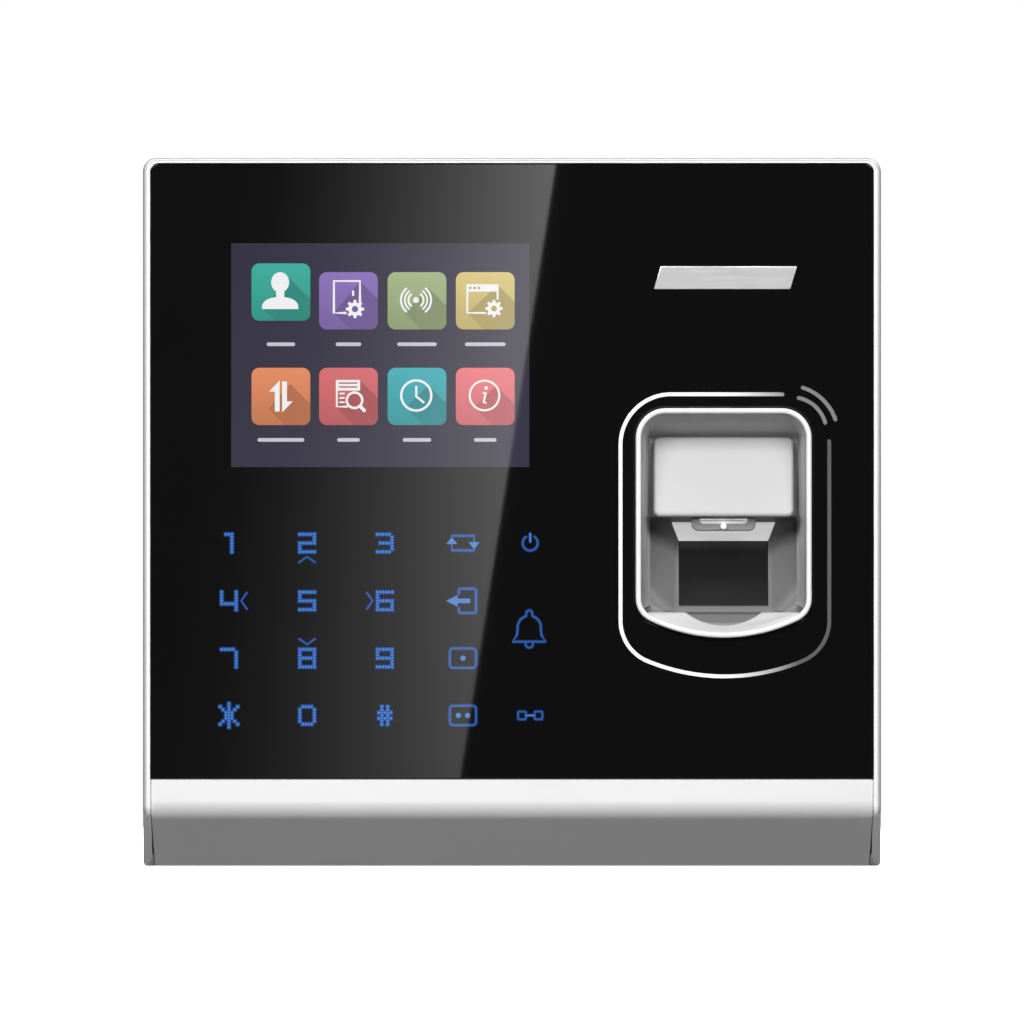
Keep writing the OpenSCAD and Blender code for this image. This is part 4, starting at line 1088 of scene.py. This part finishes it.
lens_low, lens_high = box_mm("status_light_lens")
lens_mid, lens_r = (lens_low + lens_high) / 2, (lens_high[0] - lens_low[0]) / 2
polar = np.radians(np.linspace(2, 178, 15))[:, None]
around = np.radians(np.arange(0, 360, 15))[None, :]
dome = np.stack([lens_r * np.sin(polar) * np.cos(around), -lens_r * np.cos(polar) + 0 * around,
                 lens_r * np.sin(polar) * np.sin(around)], -1) + lens_mid
lens_piece = Skin().loft(dome).make("dome_lens", sharp=80)
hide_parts("status_light_lens")
paint(lens_piece, FINISHES["light_lens"])


# %% [markdown]
# The window and the stop lie in the sensor's own tilted frame. A point there is a distance across, one up the slope
# and one out of the window, and two unit directions turn it into the object's frame.

# %% Window and finger stop
def on_sensor(points):
    """Across, up the slope and out of the window, turned into X, Y and Z."""
    across, l, d = np.moveaxis(np.asarray(points, float), -1, 0)
    yz = SENSOR[1:] + l[..., None] * SLOPE + d[..., None] * OUT
    return np.concatenate([(SENSOR[0] + across)[..., None], yz], -1)


def tilted_plate(outline, bottom, top, edge, lean=0.0, hinge=0.0):
    """A plate in the sensor's frame; with a lean it is turned up about a line across the slope."""
    rings = [np.column_stack([outline, np.full(len(outline), bottom)])]
    for d, h in edge_steps(edge, 3):
        rings.append(np.column_stack([inset(outline, d), np.full(len(outline), top - h)]))
    rings = np.array(rings)
    c, s = math.cos(lean), math.sin(lean)
    l, d = rings[..., 1] * c - rings[..., 2] * s + hinge, rings[..., 1] * s + rings[..., 2] * c
    return on_sensor(np.stack([rings[..., 0], l, d], -1))


WINDOW = (9.25, 9.0)
window_outline = rounded_rect(-WINDOW[0], WINDOW[0], -WINDOW[1], WINDOW[1], 0.25, n=4)
window = Skin().loft(tilted_plate(window_outline, -2.0, 0.12, 0.2)).make("sensor_window_plate", sharp=60)
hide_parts("sensor_window")
paint(window, FINISHES["sensor_glass"])

stop_outline = np.array([[-9.2, 0.1], [9.2, 0.1], [10.6, 3.9], [-10.6, 3.9]])
STOP_LEAN, STOP_HINGE = math.atan2(4, 2.2), 9.3
stop_rings = tilted_plate(stop_outline, 0.0, 1.0, 0.15, STOP_LEAN, STOP_HINGE)
stop = Skin().loft(stop_rings).make("finger_stop_plate", sharp=60)
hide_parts("finger_stop")
# The stop's finish carries a painted glow.
paint(stop, FINISHES["lit_plastic"])


# %% [markdown]
# ## Lit and printed layers
#
# The picture on the display, the key legends and the line round the bay all lie on or just behind the glass. Each is a
# very thin skin a few hundredths of a millimetre in front of the panel, and a layer that covers another lies one step
# further forward. Colours are stored on the points as a tint. A lit layer sends its tint out as light and keeps the
# glass's gloss, so that the glare still runs across it. A printed layer shows its tint as paint.

# %% Layer finishes
def layer(k):
    """Depth of the k-th layer in front of the glass."""
    return GLASS_Y - INK * k


def lit_layer(name, strength, cell=0.19):
    """Light through a film: the tint as emission, in the fine cells of a display, under polished glass."""
    finish = Finish(name)
    x, _, z = finish.axes()
    wave = 2 * math.pi / cell
    cells = (x * wave).maths("SINE") * (z * wave).maths("SINE")
    dim = finish.mix(cells.between(0.46, 0.54), rgb(0.93, 0.93, 0.93), rgb(1, 1, 1))
    haze = finish.noise(30, detail=5, stretch=(0.35, 1.0, 1.0))
    return finish.set(Base_Color=rgb(0.006, 0.006, 0.006), Emission_Strength=strength,
                      Emission_Color=tinted(finish, dim), Roughness=haze.between(0.004, 0.008))


def printed_layer(name, gloss):
    """Ink: the tint as paint, a little uneven, with some light of its own from the lamp behind the panel."""
    finish = Finish(name)
    patch = finish.noise(0.6)
    colour = tinted(finish, finish.mix(patch, rgb(0.94, 0.94, 0.94), rgb(1, 1, 1)))
    return finish.set(Base_Color=colour, Emission_Color=colour, Emission_Strength=0.35,
                      Roughness=patch.between(gloss, gloss + 0.1))


FINISHES["display_lit"] = lit_layer("lit_display", 1.0)
FINISHES["legend_lit"] = lit_layer("lit_legend", 1.0, cell=0.3)
FINISHES["white_ink"] = printed_layer("white_ink", 0.3)


def tone(code):
    """A colour written as on a screen, as linear red, green and blue."""
    return from_hex(code)[:3]


# %% [markdown]
# ## The line round the bay
#
# A white line frames the bay at a small distance. It is open at the upper right, where two short arcs stand for
# waves. The line's own outline is the bay's, with larger corners, so it comes from the same function. Towards the
# right the ink thins out to grey, and the tint of each point follows its X.

# %% Printed line and waves
LINE_WIDTH = 0.78
LINE_LEFT, LINE_RIGHT, LINE_TOP, LINE_LOW = 22.35, 65.35, 24.25, -33.85
line_half = (LINE_RIGHT - LINE_LEFT) / 2
frame_line = bowed_outline(line_half, LINE_TOP, LINE_LOW, 10.4, 9.0, 42.0) + ((LINE_LEFT + LINE_RIGHT) / 2, 0)
frame_line = resample(frame_line, 500)
GAP_FROM_X, GAP_FROM_Z = 55.7, 14.6
gap = (frame_line[:, 0] > GAP_FROM_X) & (frame_line[:, 1] > GAP_FROM_Z)
after_gap = (np.flatnonzero(gap & ~np.roll(gap, -1))[0] + 1) % len(gap)
frame_line = np.roll(frame_line, -after_gap, 0)[: len(gap) - gap.sum()]


# %% Ink that thins out
FADE_FROM_X, FADE_WIDTH = 43, 16


def line_shade(points):
    """White on the left, thinning to grey on the right."""
    t = np.clip((points[..., 0] - FADE_FROM_X) / FADE_WIDTH, 0, 1)[..., None]
    return np.array(tone("e4e4e4")) * (1 - t) + np.array(tone("4c4c4c")) * t


def shaded_ribbon(skin, path, width, front, shade):
    """A ribbon whose tint is worked out from its points."""
    before = len(skin.points)
    ribbon(skin, path, width, front)
    skin.tints[before] = shade(skin.points[before])


line_skin = Skin()
shaded_ribbon(line_skin, frame_line, LINE_WIDTH, layer(1), line_shade)


# %% Waves
def through(a, b, c, n=20):
    """A circular arc through three points: its centre is as far from each of them."""
    a, b, c = map(np.array, (a, b, c))
    m = np.array([b - a, c - a]) * 2
    centre = np.linalg.solve(m, [b @ b - a @ a, c @ c - a @ a])
    turn = np.unwrap([math.atan2(*(p - centre)[::-1]) for p in (a, b, c)])
    return arc(*centre, np.linalg.norm(a - centre), math.degrees(turn[0]), math.degrees(turn[2]), n)


for wave in (((59.05, 23.5), (62.5, 21.7), (64.5, 18.4)), ((59.9, 25.6), (64.05, 23.1), (66.6, 19.05))):
    shaded_ribbon(line_skin, through(*wave), 0.8, layer(1), lambda p: np.broadcast_to(tone("6c6c6c"), p.shape))
line = line_skin.make("bay_line", sharp=20, tinted=True)
paint(line, FINISHES["white_ink"])


# %% [markdown]
# ## The nameplate
#
# A small leaning plate sits on the glass above the bay. It is blank. Its front edges are rounded over a tenth of a
# millimetre so that it reads as metal and not as a printed patch.

# %% Blank plate
FINISHES["nameplate_foil"] = brushed_foil("brushed_nameplate", (0.94, 0.94, 0.94))
plate_low, plate_high = box_mm("nameplate")
PLATE_LEAN = 1.4
blank = np.array([[plate_low[0], plate_low[2]], [plate_high[0] - PLATE_LEAN, plate_low[2]],
                  [plate_high[0], plate_high[2]], [plate_low[0] + PLATE_LEAN, plate_high[2]]])
badge = plate(Skin(), blank, plate_low[1], plate_high[1], edge=0.1, steps=3).make("blank_nameplate", sharp=60)
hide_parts("nameplate")
paint(badge, FINISHES["nameplate_foil"])


# %% [markdown]
# ## The display's picture
#
# The menu shows eight tiles in two rows, each with a white sign, a darker band that falls from the sign to the lower
# right, and a short bar in place of its name. Everything is drawn with the two shapes from above, plates and ribbons,
# in layers. The first tile is raised, because it is the one selected.

# %% Menu tiles
panel_low, panel_high = box_mm("display_panel")
DISPLAY_EDGE = 2.5
VIEW_X = panel_low[0] + DISPLAY_EDGE, panel_high[0] - DISPLAY_EDGE
VIEW_Z = panel_low[2] + DISPLAY_EDGE, panel_high[2] - DISPLAY_EDGE
TILE_X, ROW_Z = (-47.6, -33.68, -19.57, -5.51), (43.5, 23.8)
TILE_W, TILE_H, TILE_R = 12.1, 11.8, 1.6
LABEL_DROP = 8.95
TILES = ["38a091", "8068ac", "96a678", "c8b570", "d2825a", "c66467", "3aa0a8", "d97176"]
LABELS = [5.1, 4.5, 7.4, 7.6, 8.9, 3.9, 5.1, 3.9]

view = Skin()


def graded(skin, outline, k, low, high):
    """A plate whose tint runs from one colour at its lowest point to another at its highest."""
    before = len(skin.points)
    plate(skin, outline, layer(k), layer(k - 1))
    z = skin.points[before][:, 2:3]
    t = (z - z.min()) / (z.max() - z.min())
    skin.tints[before] = np.array(low) * (1 - t) + np.array(high) * t


background = np.array([[VIEW_X[0], VIEW_Z[0]], [VIEW_X[1], VIEW_Z[0]],
                       [VIEW_X[1], VIEW_Z[1]], [VIEW_X[0], VIEW_Z[1]]])
graded(view, background, 1, tone("383546"), tone("343143"))
CENTRES = [(x, z) for z in ROW_Z for x in TILE_X]
label_heights = [z - LABEL_DROP for _, z in CENTRES]
CENTRES[0] = (TILE_X[0], ROW_Z[0] + 1.8)
for (x, z), label_z, code, width in zip(CENTRES, label_heights, TILES, LABELS):
    colour = np.array(tone(code))
    tile = rounded_rect(x - TILE_W / 2, x + TILE_W / 2, z - TILE_H / 2, z + TILE_H / 2, TILE_R, n=6)
    graded(view, tile, 2, colour * 0.86, colour * 1.22)
    ribbon(view, [(x - width / 2, label_z), (x + width / 2, label_z)], 0.75, layer(2), tint=tone("c9c6d2"))
print("menu of", len(CENTRES), "tiles")


# %% [markdown]
# ## Signs on the tiles
#
# Each sign is drawn about its tile's own middle, in millimetres. A ring with teeth is a circle whose radius steps
# between two values, softened so that the teeth have sloping sides.

# %% Shapes and strokes on a tile
WHITE = tone("f2f2f4")


def cog(x, z, r, n=8):
    """A toothed wheel: the radius is r plus a clipped wave of the angle."""
    a = np.linspace(0, 2 * np.pi, 12 * n, endpoint=False)
    q = r * (0.88 + 0.14 * np.clip(2.2 * np.cos(n * a), -1, 1))
    return np.stack([x + q * np.cos(a), z + q * np.sin(a)], -1)


def darker(k, share):
    """A tile's own colour, darker."""
    return np.array(tone(TILES[k])) * share


def shape(k, outline, tint=WHITE, at=4):
    """A filled outline on the k-th tile."""
    x, z = CENTRES[k]
    plate(view, np.asarray(outline, float) + (x, z), layer(at), layer(at - 1), tint=tint)


def stroke(k, path, width, tint=WHITE, at=4, closed=False):
    """A line on the k-th tile."""
    x, z = CENTRES[k]
    ribbon(view, np.asarray(path, float) + (x, z), width, layer(at), closed=closed, tint=tint)


def long_shadow(k, upper, lower):
    """A darker band that falls at 45 degrees from a sign's upper right and lower left to the tile's corner."""
    right, low = TILE_W / 2, -TILE_H / 2
    (ux, uz), (lx, lz) = upper, lower
    corner = [(right, low + TILE_R * 0.7), (right - TILE_R * 0.25, low + TILE_R * 0.25), (right - TILE_R * 0.7, low)]
    band = [upper, (right, uz - (right - ux)), *corner, (lx + (lz - low), low), lower]
    shape(k, band, tint=darker(k, 0.72), at=3)


# %% Person, and a door with a toothed wheel
long_shadow(0, (1.6, 3.0), (-3.7, -3.4))
shape(0, ellipse(-0.15, 2.0, 1.85, 2.1))
shape(0, rounded_rect(-1.0, 0.7, -1.6, 0.9, 0.3, n=3), at=5)
sweep = np.linspace(0, np.pi, 24)
shape(0, np.stack([-0.15 + 3.75 * np.cos(sweep), -3.5 + 2.5 * np.sin(sweep) ** 0.7], -1))

long_shadow(1, (2.4, 4.0), (-3.0, -2.5))
stroke(1, [(2.37, -0.2), (2.37, 4.07), (-3.0, 4.07), (-3.0, -2.5), (-0.6, -2.5)], 0.5)
stroke(1, [(0.95, 1.2), (0.95, 1.9)], 0.45)
shape(1, cog(1.34, -1.7, 1.85))
shape(1, ellipse(1.34, -1.7, 0.65, 0.65), tint=darker(1, 0.8), at=5)

# %% Radio waves, and a window with a toothed wheel
long_shadow(2, (2.4, 2.6), (-2.6, -2.4))
shape(2, ellipse(-0.2, 0.15, 0.6, 0.6))
for turn in (0, 180):
    for r in (1.55, 3.1):
        stroke(2, arc(-0.2, 0.15, r, turn - 50, turn + 50), 0.42)
    stroke(2, arc(-0.2, 0.15, 2.3, turn - 52, turn + 52), 0.36)

long_shadow(3, (2.6, 3.2), (-3.7, -2.5))
shape(3, [(-3.9, 1.9), (2.75, 1.9), (2.75, 3.4), (-3.9, 3.4)])
stroke(3, [(2.55, 0.4), (2.55, 1.9)], 0.42)
stroke(3, [(-3.7, 1.9), (-3.7, -2.5), (0.0, -2.5)], 0.42)
for dx in (-3.1, -2.2, -1.3):
    shape(3, ellipse(dx, 2.65, 0.27, 0.27, n=12), tint=darker(3, 0.7), at=5)
shape(3, cog(1.8, -1.6, 1.75))
shape(3, ellipse(1.8, -1.6, 0.6, 0.6), tint=darker(3, 0.8), at=5)

# %% Two arrows, and a list with a magnifier
long_shadow(4, (1.9, 2.6), (-2.6, -2.6))
half_arrow = np.array([(-0.25, 3.3), (-0.25, -3.1), (-1.25, -3.1), (-1.25, 1.0), (-2.45, 1.0)])
shape(4, half_arrow)
shape(4, -half_arrow)

long_shadow(5, (2.4, 3.3), (-2.6, -2.2))
shape(5, [(-2.6, 3.4), (2.4, 3.4), (2.4, 1.2), (-2.6, 1.2)])
stroke(5, [(-2.4, 1.4), (-2.4, -2.1), (-0.3, -2.1)], 0.42)
for lz in (0.6, -0.3, -1.2):
    stroke(5, [(-1.7, lz), (-0.9, lz)], 0.36)
for lz in (2.75, 1.95):
    stroke(5, [(-1.9, lz), (1.7, lz)], 0.3, tint=darker(5, 0.8), at=5)
stroke(5, ellipse(1.24, -0.78, 1.6, 1.6), 0.5, closed=True)
stroke(5, [(2.4, -2.0), (3.25, -2.9)], 0.7)

# %% Clock and information
long_shadow(6, (2.3, 2.3), (-2.3, -2.3))
stroke(6, ellipse(-0.15, 0.2, 3.1, 3.1, n=48), 0.48, closed=True)
stroke(6, [(-0.15, 2.0), (-0.15, 0.0), (1.35, -1.2)], 0.45)

long_shadow(7, (2.2, 2.2), (-2.2, -2.2))
stroke(7, ellipse(-0.15, 0.2, 3.05, 3.05, n=48), 0.42, closed=True)
shape(7, ellipse(0.2, 1.75, 0.38, 0.38, n=16))
stroke(7, [(-0.35, 0.75), (0.1, 0.75), (-0.35, -1.3), (0.05, -1.3)], 0.42)
picture = view.make("display_picture", sharp=20, tinted=True)
paint(picture, FINISHES["display_lit"])


# %% [markdown]
# ## Legends of the touch keys
#
# Each key is a sign of blue dots, lit through small holes in the black print. The digits are drawn on a grid of dots,
# so a legend is a few short strings, and every mark in them becomes one tiny plate. Arrows, the bell and the two state
# signs are lines. The keys with two functions have small arrow heads beside their digit.

# %% Dot grid
BLUE, PALE_BLUE, DEEP_BLUE = tone("2b5ca8"), tone("4c82cc"), tone("0a2450")
PITCH = 0.60
DOT_LAYERS = (1.15, DEEP_BLUE, 2), (0.80, BLUE, 3), (0.40, PALE_BLUE, 4)
DIGITS = {
    "1": (".###.", "...#.", "...#.", "...#.", "...#.", "...#.", "...#."),
    "2": ("######", ".....#", ".....#", "######", "#.....", "#.....", "######"),
    "3": ("#####.", ".....#", ".....#", ".#####", ".....#", ".....#", "#####."),
    "4": ("#....#", "#....#", "#....#", "#....#", "######", ".....#", ".....#"),
    "5": ("######", "#.....", "#.....", "######", ".....#", ".....#", "######"),
    "6": ("######", "#.....", "#.....", "######", "#....#", "#....#", "######"),
    "7": ("#####.", ".....#", ".....#", ".....#", ".....#", ".....#", ".....#"),
    "8": ("######", "#....#", "#....#", "######", "#....#", "#....#", "######"),
    "9": ("######", "#....#", "#....#", "######", ".....#", ".....#", "######"),
    "0": (".####.", "#....#", "#....#", "#....#", "#....#", "#....#", ".####."),
    "*": ("...#...", "#..#..#", ".#.#.#.", "..###..", "..###..", "..###..", ".#.#.#.", "#..#..#", "...#..."),
    "#": (".#.#.", ".#.#.", "#####", ".#.#.", "#####", ".#.#.", ".#.#."),
}
KEY_X, KEY_Z = (-58.3, -42.2, -26.2, -10.1), (-6.4, -18.3, -30.1, -41.9)
legends = Skin()


def dots(x, z, rows):
    """For each # in the rows a bright dot, a wider patch that joins it to its neighbours, and a dim glow behind."""
    cols = len(rows[0])
    for r, row in enumerate(rows):
        for c, mark in enumerate(row):
            if mark == "#":
                dx, dz = x + (c - (cols - 1) / 2) * PITCH, z + ((len(rows) - 1) / 2 - r) * PITCH
                for size, tint, k in DOT_LAYERS:
                    spot = rounded_rect(dx - size / 2, dx + size / 2, dz - size / 2, dz + size / 2, size / 4, n=2)
                    plate(legends, spot, layer(k), layer(k - 1), tint=tint)


def line_sign(x, z, path, width=0.42, closed=False, tint=BLUE):
    """A line with a dim glow behind it."""
    path = np.asarray(path, float) + (x, z)
    ribbon(legends, path, width + 0.4, layer(2), closed=closed, tint=DEEP_BLUE)
    ribbon(legends, path, width, layer(3), closed=closed, tint=tint)


def filled_sign(x, z, outline, tint=PALE_BLUE):
    """A filled outline about a key's middle, on top of the lines."""
    plate(legends, np.asarray(outline, float) + (x, z), layer(4), layer(3), tint=tint)


# %% Digits and arrow heads
for row, names in enumerate(("123", "456", "789", "*0#")):
    for column, name in enumerate(names):
        dots(KEY_X[column], KEY_Z[row], DIGITS[name])
HEAD = np.array([(-1.65, -0.58), (0, 0.58), (1.65, -0.58)])
HEAD_LINE, HEAD_UP, HEAD_ASIDE = 0.32, 3.4, 3.1
line_sign(KEY_X[1], KEY_Z[0] - HEAD_UP, HEAD, HEAD_LINE)
line_sign(KEY_X[1], KEY_Z[2] + HEAD_UP, -HEAD, HEAD_LINE)
line_sign(KEY_X[0] + HEAD_ASIDE, KEY_Z[1], HEAD[:, ::-1] * (-1, 1), HEAD_LINE)
line_sign(KEY_X[2] - HEAD_ASIDE, KEY_Z[1], HEAD[:, ::-1], HEAD_LINE)
print("digits drawn with", len(legends.points), "marks")


# %% [markdown]
# The remaining keys carry signs only: two arrows that chase each other, an arrow that leaves a door, one and two dots
# in a box for the two keys whose work is set by the owner, a bell, and small signs for power and for the network.

# %% Line signs
x, (z0, z1, z2, z3) = KEY_X[3], KEY_Z
LOOP_X, LOOP_Z, LOOP_HEAD = 2.3, 1.5, 1.15
for turned in (1, -1):
    half_loop = np.array([(-LOOP_X, 0.9), (-LOOP_X, LOOP_Z), (LOOP_X, LOOP_Z), (LOOP_X, -0.3)])
    head = np.array([(LOOP_X - LOOP_HEAD, 0.2), (LOOP_X, -1.25), (LOOP_X + LOOP_HEAD, 0.2)])
    line_sign(x, z0, half_loop * turned, 0.5)
    filled_sign(x, z0, head * turned)
door = np.vstack([[(-0.85, 1.5)], arc(-0.45, 2.1, 0.4, 180, 90, 5), arc(2.3, 2.1, 0.4, 90, 0, 5)])
line_sign(x, z1, np.vstack([door, door[::-1] * (1, -1)]), 0.5)
filled_sign(x, z1, [(-3.5, 0), (-1.1, 1.2), (-1.1, 0.48), (1.5, 0.48), (1.5, -0.48), (-1.1, -0.48), (-1.1, -1.2)])
for z, spots in ((z2, (0.0,)), (z3, (-0.95, 0.95))):
    line_sign(x, z, rounded_rect(-2.7, 2.7, -2.0, 2.0, 0.7, n=4), 0.45, closed=True)
    for dx in spots:
        filled_sign(x, z, ellipse(dx, 0, 0.55, 0.55, n=20))

# %% Power and network signs
STATE_X = 3.75
line_sign(STATE_X, z0, arc(0, 0, 1.55, 125, 415, 30), 0.42)
line_sign(STATE_X, z0, [(0, 0.3), (0, 1.9)], 0.42, tint=PALE_BLUE)
for dx in (-1.7, 1.7):
    line_sign(STATE_X + dx, z3, rounded_rect(-0.8, 0.8, -0.8, 0.8, 0.2, n=3), 0.36, closed=True)
line_sign(STATE_X, z3, [(-0.9, 0), (0.9, 0)], 0.36, tint=PALE_BLUE)

# %% Bell
BELL_X, BELL_Z = STATE_X - 0.2, -24.1
bell_half = np.vstack([[(3.5, -2.6), (2.55, -1.35)], arc(0, 0.35, 2.35, -8, 74, 16) + (0.05, 0), [(0.6, 3.2)]])
bell = np.vstack([bell_half, arc(0, 3.25, 0.6, 10, 170, 8), bell_half[::-1] * (-1, 1)])
line_sign(BELL_X, BELL_Z, bell, 0.42, closed=True)
line_sign(BELL_X, BELL_Z, arc(0, -3.1, 0.75, 165, 375, 18), 0.38)
legend_piece = legends.make("key_legends", sharp=20, tinted=True)
paint(legend_piece, FINISHES["legend_lit"])
